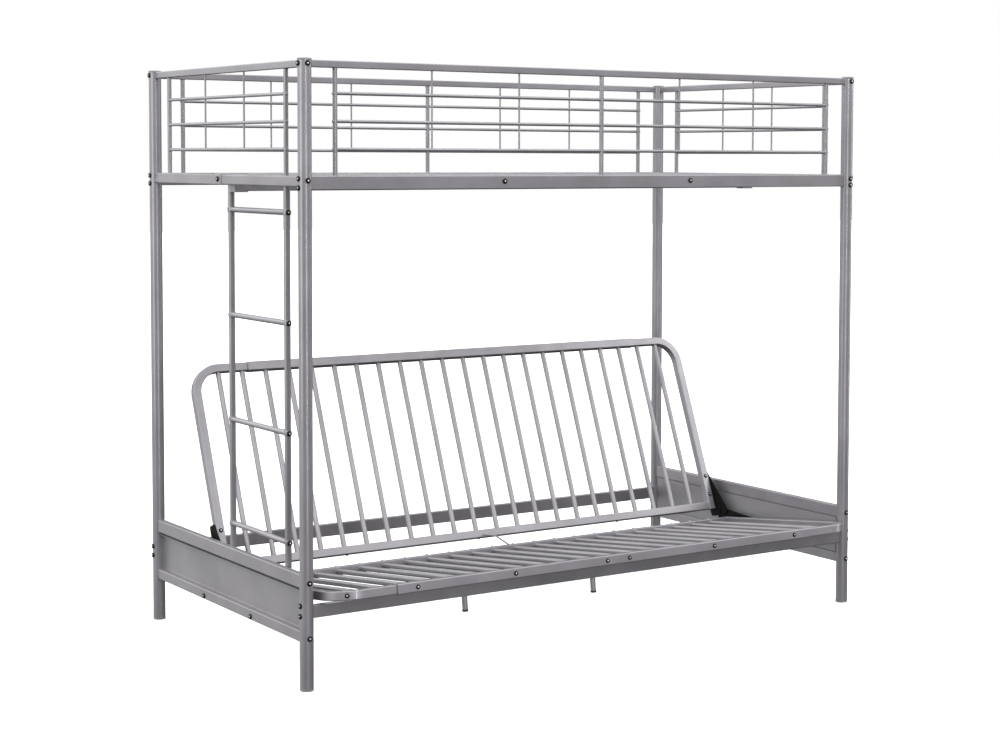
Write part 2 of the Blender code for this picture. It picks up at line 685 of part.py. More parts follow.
def make_arms(bed):
    """Lower end arms: an upper rail, a lower rail and a folded pan between them."""
    for name, sign in (("left", -1), ("right", 1)):
        x = sign * POST_X
        rail(f"arm_rail_{name}", POST_Y, (x, 0, ARM_TOP - ARM_RAIL_HEIGHT / 2), Y_AXIS,
             ARM_THICK, ARM_RAIL_HEIGHT, RAIL_WALL, bed)
        rail(f"arm_low_rail_{name}", POST_Y, (x, 0, ARM_LOW_TOP - ARM_LOW_HEIGHT / 2), Y_AXIS,
             ARM_THICK, ARM_LOW_HEIGHT, RAIL_WALL, bed)
        make_arm_panel(f"arm_panel_{name}", sign, bed)


def make_arm_panel(name, sign, bed):
    """A folded sheet pan: its floor is flush with the arm's inner face and its flanges reach outward."""
    half = POST_Y - POST_R - GAP
    low = ARM_LOW_TOP + GAP
    high = ARM_TOP - ARM_RAIL_HEIGHT - GAP
    inner = ARM_INNER_X
    outer = inner + PANEL_DEPTH
    bm = bmesh.new()
    bmesh.ops.create_cube(bm, size=1, matrix=box_matrix((inner, -half, low), (outer, half, high)))
    mouth = max(bm.faces, key=lambda face: face.calc_center_median().x)
    bmesh.ops.inset_region(bm, faces=[mouth], thickness=PANEL_WALL, use_even_offset=True)
    bmesh.ops.delete(bm, geom=[deepen(bm, mouth, PANEL_DEPTH - PANEL_WALL)], context="FACES")
    place(name, mesh_from(name, bm), SHEET_SILVER, bed, (0, 0, 0), 0 if sign > 0 else math.pi)


def deepen(bm, face, depth):
    """Pushes a face inward along X on new walls, and returns the old face for removal."""
    grown = bmesh.ops.extrude_face_region(bm, geom=[face], use_keep_orig=True)["geom"]
    bmesh.ops.translate(bm, vec=(-depth, 0, 0), verts=[v for v in grown if isinstance(v, bmesh.types.BMVert)])
    return face


def make_lower_rails(bed):
    """Lower side rails: the rear one carries the back when it lies flat."""
    rail("lower_rail_rear", POST_X, (0, POST_Y, REAR_RAIL_TOP - REAR_RAIL_HEIGHT / 2), X_AXIS,
         SIDE_RAIL_THICK, REAR_RAIL_HEIGHT, RAIL_WALL, bed)
    rail("lower_rail_front", POST_X, (0, -POST_Y, FRONT_RAIL_TOP - FRONT_RAIL_HEIGHT / 2), X_AXIS,
         SIDE_RAIL_THICK, FRONT_RAIL_HEIGHT, RAIL_WALL, bed)


def slot_line():
    """The two guide pins in the sofa pose, front one first, as (y, z) from the pivot, and the slot's direction."""
    ahead = Vector((-TRAVEL_FORWARD, TRAVEL_UP)).normalized()
    middle = Vector((0, -CARRIER_DROP))
    return middle + ahead * GUIDE_PIN_REACH, middle - ahead * GUIDE_PIN_REACH, ahead


def make_slide_guides(bed):
    """A plate inside each arm with the inclined slot that the futon rides in."""
    front_pin, rear_pin, ahead = slot_line()
    pivot = Vector((PIVOT_Y, PIVOT_Z))
    low = pivot + rear_pin
    high = pivot + front_pin + ahead * TRAVEL
    bolts = (Vector((GUIDE_BOLT_REAR, GUIDE_BOLT_Z)), Vector((-GUIDE_BOLT_FRONT, GUIDE_BOLT_Z)))
    rim = PIN_RADIUS + GUIDE_BORDER
    circles = [(low.x, low.y, rim), (high.x, high.y, rim)]
    circles += [(bolt.x, bolt.y, GUIDE_BOLT_EDGE) for bolt in bolts]
    for name, sign in (("left", -1), ("right", 1)):
        label = f"slide_guide_{name}"
        bm = bmesh.new()
        add_plate(bm, mirrored(hull_outline(circles, ROD_SIDES * 2), sign), GUIDE_X, GUIDE_THICK)
        guide = place(label, mesh_from(label, bm), SILVER, bed, (0, 0, 0), 0 if sign > 0 else math.pi)
        feet = bmesh.new()
        for bolt in bolts:
            y = bolt.x * sign
            add_bar(feet, straight((GUIDE_X + GUIDE_THICK / 2, y, bolt.y), (ARM_INNER_X - GAP, y, bolt.y)), Y_AXIS,
                    round_section(BOSS_RADIUS * 2, TUBE_SIDES))
        combine(guide, f"{label}_feet", feet, "UNION")
        slot = bmesh.new()
        edge = PIN_RADIUS + BORE_PLAY
        outline = hull_outline([(low.x, low.y, edge), (high.x, high.y, edge)], TUBE_SIDES)
        add_plate(slot, mirrored(outline, sign), GUIDE_X - OVERRUN, GUIDE_THICK + 2 * OVERRUN)
        combine(guide, f"{label}_slot", slot, "DIFFERENCE")


def mirrored(outline, sign):
    """An outline in Y and Z, turned over where the piece is turned by half a turn."""
    return [(y * sign, z) for y, z in outline]


def make_carriers(carriage):
    """Carrier plates: each holds the pivot pin of seat and back, and two pins that ride in the slot."""
    front_pin, rear_pin, _ = slot_line()
    circles = [(0, 0, PLATE_ROUND), (front_pin.x, front_pin.y, CARRIER_FOOT), (rear_pin.x, rear_pin.y, CARRIER_FOOT)]
    for name, sign in (("left", -1), ("right", 1)):
        label = f"carrier_{name}"
        bm = bmesh.new()
        add_plate(bm, mirrored(hull_outline(circles, TUBE_SIDES), sign), CARRIER_X, PLATE_THICK)
        carrier = place(label, mesh_from(label, bm), BLACK_STEEL, carriage, (0, 0, 0), 0 if sign > 0 else math.pi)
        pivot = cylinder_bm((HINGE_X - GAP, 0, 0), (CARRIER_X + PLATE_THICK / 2, 0, 0), PIN_RADIUS, PIN_SIDES)
        combine(carrier, f"{label}_pivot", pivot, "UNION")
        head = cylinder_bm((HINGE_X - GAP - PIN_HEAD_THICK, 0, 0), (HINGE_X - GAP, 0, 0), PIN_HEAD_RADIUS, PIN_SIDES)
        combine(carrier, f"{label}_head", head, "UNION")
        pins = bmesh.new()
        for pin in (front_pin, rear_pin):
            y = pin.x * sign
            add_bar(pins, straight((CARRIER_X + PLATE_THICK / 2, y, pin.y),
                                   (GUIDE_X + GUIDE_THICK + GAP, y, pin.y)), Y_AXIS, round_section(PIN_RADIUS, PIN_SIDES))
        combine(carrier, f"{label}_guide_pins", pins, "UNION")


def plate_with_bore(label, circles, near, bosses, sign, parent):
    """A black plate round circles, bored for the pivot pin, with bosses that reach in to the side tube."""
    bm = bmesh.new()
    add_plate(bm, mirrored(hull_outline(circles, TUBE_SIDES), sign), near, PLATE_THICK)
    plate = place(label, mesh_from(label, bm), BLACK_STEEL, parent, (0, 0, 0), 0 if sign > 0 else math.pi)
    bore = cylinder_bm((near - OVERRUN, 0, 0), (near + PLATE_THICK + OVERRUN, 0, 0), PIN_RADIUS + BORE_PLAY, PIN_SIDES)
    combine(plate, f"{label}_bore", bore, "DIFFERENCE")
    if bosses:
        studs = bmesh.new()
        for y, z in bosses:
            add_bar(studs, straight((HINGE_X, y * sign, z), (near + PLATE_THICK / 2, y * sign, z)),
                    Y_AXIS, round_section(BOSS_RADIUS, SLAT_SIDES))
        combine(plate, f"{label}_bosses", studs, "UNION")
    return plate


def make_hinge_plates(back, seat):
    """Hinge plates on the back's side tubes and ears on the seat's, all on the pivot pins."""
    tube_line = -PIVOT_HEIGHT
    hinge = [(0, PLATE_ROUND * 2, PLATE_ROUND), (HINGE_LENGTH - BOSS_RADIUS, tube_line, BOSS_RADIUS),
             (HINGE_LENGTH - BOSS_RADIUS, BOSS_RADIUS - HINGE_BACK, BOSS_RADIUS),
             (0, BOSS_RADIUS - HINGE_BACK + PLATE_ROUND / 2, BOSS_RADIUS), (0, 0, PLATE_ROUND)]
    ear = [(0, 0, PLATE_ROUND), (-EAR_LENGTH, tube_line, TUBE_HALF - GAP), (-SEAT_REAR, tube_line, TUBE_HALF)]
    ear_bosses = [(-spot, tube_line) for spot in EAR_BOSSES]
    for name, sign in (("left", -1), ("right", 1)):
        plate_with_bore(f"hinge_plate_{name}", hinge, HINGE_X, (), sign, back)
        plate_with_bore(f"seat_ear_{name}", ear, EAR_X, ear_bosses, sign, seat)


def futon_side(name, sign, near_y, far_y, parent):
    """A side tube of the seat or the back: a straight run, a round corner and a tail inside the sleeve."""
    z = -PIVOT_HEIGHT
    tail = SLEEVE_REACH - SLEEVE_OVERLAP
    path = bent([(sign * FUTON_AXIS, near_y, z), (sign * FUTON_AXIS, far_y, z), (sign * tail, far_y, z)], BEND_RADIUS)
    bm = bmesh.new()
    add_bar(bm, path, Z_AXIS, *square_sections(FUTON_TUBE_WIDTH, FUTON_TUBE_CORNER, FUTON_TUBE_WALL))
    place(name, mesh_from(name, bm), SILVER, parent)


def futon_sleeve(name, far_y, parent):
    """The larger straight tube that slides over the tails of both side tubes."""
    bm = bmesh.new()
    add_bar(bm, straight((-SLEEVE_REACH, 0, 0), (SLEEVE_REACH, 0, 0)), Y_AXIS,
            *square_sections(SLEEVE_WIDTH, SLEEVE_CORNER, SLEEVE_WALL))
    place(name, mesh_from(name, bm), SILVER, parent, (0, far_y, -PIVOT_HEIGHT))


def futon_slats(name, rail_y, far_y, parent):
    """The cross rail between the side tubes with its welded slats, whose free ends meet the sleeve."""
    rail_end = FUTON_AXIS - TUBE_HALF - GAP
    rail_bm = bmesh.new()
    add_bar(rail_bm, straight((-rail_end, 0, 0), (rail_end, 0, 0)), Y_AXIS,
            *square_sections(FUTON_TUBE_WIDTH, FUTON_TUBE_CORNER, FUTON_TUBE_WALL))
    grille = place(name, mesh_from(name, rail_bm), SILVER, parent, (0, rail_y, -PIVOT_HEIGHT))
    slats = bmesh.new()
    outer_slat = (SLAT_COUNT - 1) * SLAT_PITCH / 2
    reach = far_y - rail_y
    root = math.copysign(TUBE_HALF - FUTON_TUBE_WALL / 2, reach)
    tip = reach - math.copysign(SLEEVE_HALF + GAP, reach)
    for index in range(SLAT_COUNT):
        x = -outer_slat + index * SLAT_PITCH
        add_bar(slats, straight((x, root, 0), (x, tip, 0)), X_AXIS, round_section(SLAT_R, SLAT_SIDES))
    combine(grille, f"{name}_bars", slats, "UNION")


def make_seat(seat):
    """The seat: two side tubes, the front sleeve and the slat grille."""
    rear_edge = -(SEAT_REAR - TUBE_HALF)
    for name, sign in (("left", -1), ("right", 1)):
        futon_side(f"seat_side_{name}", sign, rear_edge, -SEAT_FRONT, seat)
    futon_sleeve("seat_front_tube", -SEAT_FRONT, seat)
    futon_slats("seat_slats", -SEAT_REAR, -SEAT_FRONT, seat)


def make_back(back):
    """The back: two side tubes, the top sleeve and the slat grille."""
    lower_edge = BACK_LOW - TUBE_HALF
    for name, sign in (("left", -1), ("right", 1)):
        futon_side(f"back_side_{name}", sign, lower_edge, BACK_HIGH, back)
    futon_sleeve("back_top_tube", BACK_HIGH, back)
    futon_slats("back_slats", BACK_LOW, BACK_HIGH, back)


def make_centre_leg(seat):
    """An inverted U of tube under the seat slats, with a moulded cap on each leg."""
    leg_r = LEG_OD / 2
    bar_z = -PIVOT_HEIGHT - flat_radius(SLAT_R, SLAT_SIDES) - GAP - flat_radius(leg_r, SLAT_SIDES)
    end_z = LEG_CAP_HEIGHT + GAP - LEG_REACH
    bm = bmesh.new()
    path = bent([(-LEG_PLACE, 0, end_z), (-LEG_PLACE, 0, bar_z), (LEG_PLACE, 0, bar_z), (LEG_PLACE, 0, end_z)], LEG_BEND)
    add_bar(bm, path, Y_AXIS, round_section(leg_r, SLAT_SIDES), round_section(leg_r - LEG_WALL, SLAT_SIDES))
    place("centre_leg", mesh_from("centre_leg", bm), SILVER, seat, (0, -LEG_SET, 0))
    plug = leg_r - LEG_WALL - GAP
    cap_r = LEG_CAP_OD / 2
    cap = turned_mesh("leg_cap", (
        (cap_r * 0.6, -LEG_REACH), (cap_r, -LEG_REACH + LEG_CAP_HEIGHT / 3), (cap_r, -LEG_REACH + LEG_CAP_HEIGHT),
        (plug, -LEG_REACH + LEG_CAP_HEIGHT), (plug, -LEG_REACH + LEG_CAP_HEIGHT + LEG_PLUG_LENGTH)), SLAT_SIDES)
    for name, x in (("left", -LEG_PLACE), ("right", LEG_PLACE)):
        place(f"leg_cap_{name}", cap, BLACK_PLASTIC, seat, (x, -LEG_SET, 0))


def make_wire_link(seat):
    """A bent wire stop that stands on the seat's rear rail and reaches back to the back's lower rail."""
    link_r = LINK_OD / 2
    near_y = BACK_LOW - TUBE_HALF
    near_z = PIVOT_HEIGHT - TUBE_HALF
    fold = SEAT_TILT + BACK_RAISE - math.atan2(near_z, near_y)
    stop = math.hypot(near_y, near_z) - LINK_CLEAR
    tip = Vector((0, stop * math.cos(fold), stop * math.sin(fold)))
    foot_z = TUBE_HALF - PIVOT_HEIGHT + GAP
    knee = Vector((0, -SEAT_REAR, tip.z))
    path = bent([(0, -SEAT_REAR, foot_z), knee, tip], LINK_OD)
    bm = bmesh.new()
    add_bar(bm, path, X_AXIS, round_section(link_r, ROD_SIDES))
    place("wire_link", mesh_from("wire_link", bm), SILVER, seat)


def main():
    clear_scene()
    bed = empty("bed_origin", None, (0, CENTRE_Y, 0))
    carriage = empty("carriage_pivot", bed, (0, PIVOT_Y, PIVOT_Z))
    seat = empty("seat_pivot", carriage, (0, 0, 0), -SEAT_TILT)
    back = empty("back_pivot", carriage, (0, 0, 0), BACK_RAISE)
    make_posts(bed)
    make_bunk_rails(bed)
    make_guards(bed)
    make_deck(bed)
    make_centre_beam(bed)
    make_ladder(bed)
    make_arms(bed)
    make_lower_rails(bed)
    make_slide_guides(bed)
    make_carriers(carriage)
    make_hinge_plates(back, seat)
    make_seat(seat)
    make_back(back)
    make_centre_leg(seat)
    make_wire_link(seat)


main()
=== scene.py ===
"""Finished look of the loft bed: its tubes, sheet, slats, hinges, bolts and welds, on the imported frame."""

import json
import math

import bmesh
import bpy
from bpy.props import FloatProperty, FloatVectorProperty, IntProperty, PointerProperty
from mathutils import Matrix, Vector


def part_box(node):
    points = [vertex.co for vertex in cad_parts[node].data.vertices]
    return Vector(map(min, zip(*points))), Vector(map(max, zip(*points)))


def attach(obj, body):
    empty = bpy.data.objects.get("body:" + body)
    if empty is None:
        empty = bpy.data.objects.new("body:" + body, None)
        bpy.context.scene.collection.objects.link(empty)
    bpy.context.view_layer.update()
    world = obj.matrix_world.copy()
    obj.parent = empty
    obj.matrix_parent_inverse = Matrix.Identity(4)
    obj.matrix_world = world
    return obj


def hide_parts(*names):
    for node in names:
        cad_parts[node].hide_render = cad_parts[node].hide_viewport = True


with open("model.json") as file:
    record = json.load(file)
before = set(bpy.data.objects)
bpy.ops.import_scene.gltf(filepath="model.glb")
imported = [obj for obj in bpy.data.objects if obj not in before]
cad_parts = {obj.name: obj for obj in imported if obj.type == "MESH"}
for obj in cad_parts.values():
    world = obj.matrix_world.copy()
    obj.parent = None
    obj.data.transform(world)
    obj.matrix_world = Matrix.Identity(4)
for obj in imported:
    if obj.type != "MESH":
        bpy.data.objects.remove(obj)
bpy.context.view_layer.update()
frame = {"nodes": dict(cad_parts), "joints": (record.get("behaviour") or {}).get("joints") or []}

bl_info = {
    "name": "Loft Bed",
    "version": (1, 0, 0),
    "blender": (4, 5, 0),
    "location": "View3D > Sidebar > Loft Bed",
    "description": "Builds the finished loft bed piece by piece on its packed frame",
    "category": "Object",
}


def mm(value):
    """A length written in millimetres."""
    return value / 1000


X_AXIS, Y_AXIS, Z_AXIS = Vector((1, 0, 0)), Vector((0, 1, 0)), Vector((0, 0, 1))
CORNERS = ("front_left", "front_right", "rear_left", "rear_right")
ENDS = (("left", -1), ("right", 1))
MERGE = mm(0.01)
DISSOLVE_BELOW = math.radians(1)
SMOOTH_BELOW = math.radians(35)

# Bunk guards: the axis that they run along, the distance of their outer uprights from the posts' axes, and
# the places of their uprights and wires as shares of the outer uprights' place
LONG_GUARD = {"along": 0, "inset": mm(91), "uprights": (-1, 0, 1),
              "wires": (-0.6568, -0.3284, 0.3284, 0.6568)}
END_GUARD = {"along": 1, "inset": mm(110), "uprights": (-1, 1), "wires": (-0.3316, 0.3316)}
SIDES = {
    "front": ("front_left", "front_right", LONG_GUARD),
    "rear": ("rear_left", "rear_right", LONG_GUARD),
    "left": ("front_left", "rear_left", END_GUARD),
    "right": ("front_right", "rear_right", END_GUARD),
}
GUARD_RAIL_HEIGHT = mm(20)
GUARD_RAIL_HALF = mm(7.5)
GUARD_BITE = mm(1)
GUARD_RODS = 3

# Slat deck of the bunk
DECK_BAR = mm(2.5)
DECK_BAR_HEIGHT = mm(22)
DECK_BAR_EDGE = mm(0.6)
DECK_SLATS = 16
DECK_SLAT_HALF = mm(15)
DECK_SLAT_HEIGHT = mm(10)
DECK_SLAT_DROP = mm(0.3)
DECK_SLAT_MARGIN = mm(60)

# Posts' caps and feet, and the saddles' hold in the ladder's stiles
CAP_RISE = mm(5)
FOOT_TOP = mm(6)
SADDLE_BITE = mm(0.5)

# Bevels and roundings on edges and at the ends of tubes and bars
POST_EDGE = mm(0.4)
STILE_EDGE = mm(0.6)
BRACKET_EDGE = mm(0.6)
ROD_ROUNDING = mm(2)
SIDE_TUBE_ROUNDING = mm(0.6)
SLEEVE_ROUNDING = mm(0.5)
LINK_ROUNDING = mm(0.8)

# Splice of the left end rail
SEAM_EDGE = mm(0.6)
TONGUE_AHEAD = mm(8)
TONGUE_BEHIND = mm(30)
SPLICE_BOLT_SHARE = 0.45

# Sheet thicknesses between a panel's web and the strip over the panel
STRIP_SETBACK = 3

# Layout of the folding futon in metres, lying flat round its pivot; a neck is a share of its tube's width
PIVOT_DROP = -0.028
SEAT_FRONT_Y = -0.673
SEAT_REAR_Y = -0.053
BACK_LOW_Y = 0.0286
BACK_TOP_Y = 0.635
SLEEVE_INSET = 0.179
SLEEVE_OVERLAP = mm(20)
SLEEVE_NECK = {"left": 0.78, "right": 0.97}
NECK_RUN = mm(1.2)
SLAT_MARGIN = 0.082
LEG_SET = -0.198
LEG_REACH = -0.186
LEG_PLACE = 0.241
LEG_IN_CAP = mm(7)
LEG_BITE = mm(0.3)
LEG_CAP_RADIUS = mm(9.5)

# Places of the bolts and studs along their rails, from the bed's middle; the hinges' bolts count from the
# pivot, and the bolt on the seat's bent corner turns from the front towards the left
SEAT_BOLTS = (-0.68, -0.36, -0.04, 0.04, 0.36, 0.68)
CORNER_BOLT_TURN = math.radians(32)
HINGE_BOLTS = (0.068, 0.133)
BUNK_RAIL_BOLTS = (-0.342, 0.327)
ARM_BOLTS = (mm(143), mm(-174))
BACK_TOP_STUDS = (-0.519, -0.039, 0.044, 0.519)
BACK_LOW_STUDS = (-0.516, -0.035, 0.516)

# Depths of the bolts under the top of their rail, and how far bolts, studs and welds sink in
GUARD_BOLT_DROP = mm(10)
SIDE_BOLT_DROPS = (mm(7.5), mm(32))
END_BOLT_DROPS = {"left": (mm(12.5),), "right": (mm(12.5), mm(33))}
RAIL_BOLT_DROP = mm(16)
ARM_BOLT_DROP = mm(20)
REAR_BOLT_DROP = mm(8)
LOW_BOLT_PITCH = mm(28)
BOLT_ROOT = mm(1.2)
STUD_ROOT = mm(1)
BOLT_BITE = mm(0.3)
WELD_BITE = mm(0.5)

# Size of the futon's bolts against the frame's
FUTON_BOLT_SHARE = 0.86

# Turned profiles, in shares of the radius and of the height; the leg cap's heights are in millimetres
BOLT_HEAD = ((1, 0), (1, 0.34), (0.95, 0.56), (0.84, 0.78), (0.68, 0.93), (0.5, 1), (0.42, 0.96), (0.38, 0.5),
             (0.12, 0.42))
BOLT_SOCKET = ((0.25, 0.5), (0.31, 0.56), (0.3, 0.86), (0.2, 0.95), (0.06, 0.97))
STUD = ((1, 0.25), (0.85, 0.6), (0.5, 0.85), (0.15, 0.93))
LEG_CAP = ((0.5, 0), (0.75, 0.4), (0.95, 1.6), (1, 3), (1, 6.6), (0.96, 7.2), (0.8, 7.2))

# Camera: place before the bed's middle, turn from the bed's width towards its length, tilt, roll and shift
CAMERA_PLACE = Vector((-3.37773, -5.22673, 1.4406))
CAMERA_YAW = 0.60187
CAMERA_PITCH = -0.0592
CAMERA_ROLL = 0.00361
CAMERA_SHIFT = (-0.0638, -0.1)
CAMERA_SENSOR = 36
CAMERA_CLIP = (0.05, 200)

# Width of the studio floor in metres
FLOOR_SIZE = 60


def length(name, value, description):
    """A length that a user can change, given in millimetres."""
    return FloatProperty(name=name, description=description, default=mm(value), unit="LENGTH",
                         subtype="DISTANCE", precision=4)


def colour(name, value, description):
    """A colour that a user can change."""
    return FloatVectorProperty(name=name, description=description, default=value, size=3, min=0, max=1,
                               subtype="COLOR")


def power(name, value, description):
    """A lamp's power that a user can change."""
    return FloatProperty(name=name, description=description, default=value, unit="POWER")


class LoftBedSizes(bpy.types.PropertyGroup):
    """Sizes of the tubes, sheets and hardware."""

    rail_corner: length("Rail corner", 2.6, "Outside rounding of the rectangular tubes")
    upright: length("Guard upright", 13, "Diameter of the guards' uprights")
    rod: length("Guard rod", 9.5, "Diameter of the guards' rods")
    wire: length("Guard wire", 5.5, "Diameter of the guards' thin wires")
    rod_rise: length("Lowest rod", 71.3, "Height of the lowest rod over the bunk rail")
    rod_pitch: length("Rod pitch", 75, "Distance between the guards' rods")
    rod_proud: length("Rod end", 1.6, "How far a rod's rounded end stands out of its upright")
    futon_tube: length("Futon tube", 25.4, "Width of the futon's square tubes")
    futon_corner: length("Futon tube corner", 2.5, "Outside rounding of the futon's square tubes")
    futon_bend: length("Futon bend", 80, "Radius of the futon's bent corners, at the tube's axis")
    sleeve: length("Futon sleeve", 28.6, "Width of the futon's straight square sleeves")
    sleeve_corner: length("Sleeve corner", 3, "Outside rounding of the sleeves")
    neck: length("Neck", 4.5, "Length of the drawn-in neck beside each sleeve's end")
    end_rail: length("Bunk end rail", 30, "Height of the bunk's end rails")
    splice_shift: length("Splice shift", 20, "How far the left end rail's seam lies before its halves' lap")
    splice_bolt: length("Splice bolt", 22, "Distance of the splice's bolt from the seam")
    splice_step: length("Splice step", 1.3, "How far the end rail's front half is set into its rear half")
    rung: length("Rung", 16, "Diameter of the ladder's rungs")
    saddle: length("Saddle", 1.4, "Thickness of the saddles between rungs and stiles")
    slat: length("Futon slat", 15.9, "Diameter of the futon's slats")
    leg: length("Centre leg", 17.5, "Diameter of the centre leg's tube")
    leg_bend: length("Leg bend", 40, "Radius of the centre leg's corners, at the tube's axis")
    link: length("Wire link", 5, "Diameter of the bent wire link")
    link_lean: length("Link lean", 24, "How far the wire link's ends lean to either side")
    sheet: length("Sheet", 1.2, "Thickness of the folded sheet")
    fold: length("Fold", 3, "Outside radius of the folds in the sheet")
    groove: length("Groove", 6, "Height of the groove between an arm's rail and its panel, outside")
    lip_gap: length("Lip gap", 2, "Height of the gap between an arm's rail and its panel, inside")
    plate_edge: length("Plate edge", 0.5, "Bevel on the edges of stamped plates")
    bolt_head: length("Bolt head", 7.8, "Radius of a bolt's head")
    bolt_rise: length("Bolt rise", 4.2, "Height of a bolt's head")
    stud: length("Slat stud", 4.2, "Radius of the studs over the slats' ends")
    weld: length("Weld", 1.5, "Thickness of a weld bead")
    slats: IntProperty(name="Slats", description="Number of slats in seat and back each", default=22, min=2)


class LoftBedColours(bpy.types.PropertyGroup):
    """Colours of the finishes, floor and light."""

    coat: colour("Silver coat", (0.235, 0.226, 0.243), "Powder coat on the tubes")
    sheet: colour("Sheet coat", (0.222, 0.215, 0.227), "Powder coat on the folded sheet")
    sheet_tint: colour("Sheet tint", (0.206, 0.21, 0.204), "Cooler patches of the coat on the folded sheet")
    black_steel: colour("Black steel", (0.0025, 0.0024, 0.0028), "Coat on the hinge plates")
    bolts: colour("Bolts", (0.004, 0.004, 0.0045), "Blackened bolts")
    # The bolt socket colour is near-white as a painted highlight: it stands in for the glint at the middle of
    # each dark bolt head
    socket: colour("Bolt socket", (0.82, 0.81, 0.83), "Bare steel in the bolts' sockets")
    black_plastic: colour("Black plastic", (0.014, 0.014, 0.015), "Leg caps")
    grey_plastic: colour("Grey plastic", (0.2, 0.195, 0.205), "Post caps and feet")
    floor: colour("Floor", (0.97, 0.97, 0.97), "Plain studio floor")


class LoftBedStage(bpy.types.PropertyGroup):
    """Camera and studio light."""

    lens: FloatProperty(name="Lens", description="Focal length of the camera in millimetres", default=70.939)
    key: power("Key light", 84, "Power of the soft box at the left")
    strip: power("Strip light", 55, "Power of the tall strip in front")
    rim: power("Rim light", 8, "Power of the tall strip at the right")
    top: power("Top light", 38, "Power of the wide overhead box")
    glow: FloatProperty(name="Glow", description="Brightness of the surround at the left behind the bed",
                        default=0.88)
    sky: FloatProperty(name="Surround", description="Brightness of the soft surround overhead", default=2.7)


def sizes():
    """The sizes set in the panel."""
    return bpy.context.scene.loft_bed_sizes


def colours():
    """The colours set in the panel."""
    return bpy.context.scene.loft_bed_colours


# Places taken from the frame

def span(node):
    """Lowest and highest corner of a frame node."""
    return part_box(node)


def centre(node):
    """Middle of a frame node's box."""
    low, high = span(node)
    return (low + high) / 2


def top_of(node):
    """Height of a frame node's top."""
    return span(node)[1].z


def post_axis(corner, height=0.0):
    """Point at a height on the axis of a post."""
    middle = centre(f"post_{corner}")
    return Vector((middle.x, middle.y, height))


def post_radius():
    """Radius of a post."""
    low, high = span("post_front_left")
    return (high.x - low.x) / 2


def middle_y():
    """Place of the bed's middle, halfway between its front and rear posts."""
    return (post_axis("front_left").y + post_axis("rear_left").y) / 2


def on_side(side, distance, height):
    """Point on a side of the bed, at a distance from the side's middle along it."""
    start, end = (post_axis(corner, height) for corner in SIDES[side][:2])
    return (start + end) / 2 + (end - start).normalized() * distance


def guard_places(side, kind):
    """Distances of a guard's uprights or wires from the middle of their side."""
    first, last, guard = SIDES[side]
    outer = (post_axis(last) - post_axis(first)).length / 2 - guard["inset"]
    return [share * outer for share in guard[kind]]


def spread(reach, count):
    """Even places from one side to the other."""
    return [-reach + index * 2 * reach / (count - 1) for index in range(count)]


def rung_heights():
    """Height of each rung."""
    return [centre(f"ladder_rung_{number}").z for number in range(1, 5)]


def joint_named(name):
    """A joint of the frame."""
    return next(joint for joint in frame["joints"] if joint["name"] == name)


def laid(body):
    """Matrix that carries the flat layout of the seat or the back to its place on the bed."""
    limit = joint_named(f"{body}_fold")["range_deg"][1 if body == "seat" else 0]
    pivot = Vector(joint_named("seat_fold")["pos_m"])
    return Matrix.Translation(pivot) @ Matrix.Rotation(-math.radians(limit), 4, "X")


def futon_axis():
    """Distance from the bed's middle to the axis of a futon side tube."""
    return span("seat_side_right")[1].x - sizes().futon_tube / 2


def slat_places():
    """Distance of each futon slat from the bed's middle."""
    return spread(futon_axis() - SLAT_MARGIN, sizes().slats)


# Modelling steps

def deselect():
    """Leaves nothing selected."""
    bpy.ops.object.select_all(action="DESELECT")


def take(piece):
    """Selects one piece alone and makes it active."""
    deselect()
    piece.select_set(True)
    bpy.context.view_layer.objects.active = piece


def set_down(piece):
    """Puts a piece's place, turn and scale into its mesh."""
    take(piece)
    bpy.ops.object.transform_apply(location=True, rotation=True, scale=True)
    return piece


def shape(piece, kind="EDGE"):
    """Opens a piece in edit mode."""
    take(piece)
    bpy.ops.object.mode_set(mode="EDIT")
    bpy.ops.mesh.select_mode(type=kind)


def choose_all():
    """Selects the whole piece in edit mode."""
    bpy.ops.mesh.select_all(action="SELECT")


def choose(piece, parts, test):
    """Selects the vertices, edges or faces that pass a test, and nothing else."""
    bpy.ops.mesh.select_all(action="DESELECT")
    mesh = bmesh.from_edit_mesh(piece.data)
    for part in getattr(mesh, parts):
        if test(part):
            part.select_set(True)
    bmesh.update_edit_mesh(piece.data)


def leave():
    """Closes edit mode."""
    bpy.ops.object.mode_set(mode="OBJECT")


def extrude(offset):
    """Extrudes what is selected."""
    bpy.ops.mesh.extrude_region_move(TRANSFORM_OT_translate={"value": offset})


def close_up():
    """Fills the open ends, merges doubles and turns the faces outward."""
    choose_all()
    bpy.ops.mesh.remove_doubles(threshold=MERGE)
    bpy.ops.mesh.fill_holes(sides=0)
    bpy.ops.mesh.normals_make_consistent(inside=False)


def apply_modifier(piece, kind, **settings):
    """Adds a modifier and applies it."""
    take(piece)
    modifier = piece.modifiers.new(kind.title(), kind)
    for key, value in settings.items():
        setattr(modifier, key, value)
    bpy.ops.object.modifier_apply(modifier=modifier.name)


def soften(piece, width, angle=30):
    """Bevels a piece's sharp edges."""
    apply_modifier(piece, "BEVEL", width=width, segments=2, limit_method="ANGLE",
                   angle_limit=math.radians(angle))


def block(low, high):
    """A block between two corners."""
    deselect()
    bpy.ops.mesh.primitive_cube_add(size=1, location=(low + high) / 2)
    piece = bpy.context.object
    piece.scale = high - low
    return set_down(piece)


def square_tube(low, high, along, corner, segments=4):
    """A rectangular tube between two corners, rounded along its length."""
    tube = block(Vector(low), Vector(high))
    shape(tube)
    choose(tube, "edges", lambda edge: abs((edge.verts[1].co - edge.verts[0].co).normalized()[along]) > 0.9)
    bpy.ops.mesh.bevel(offset=corner, segments=segments, affect="EDGES")
    leave()
    return tube


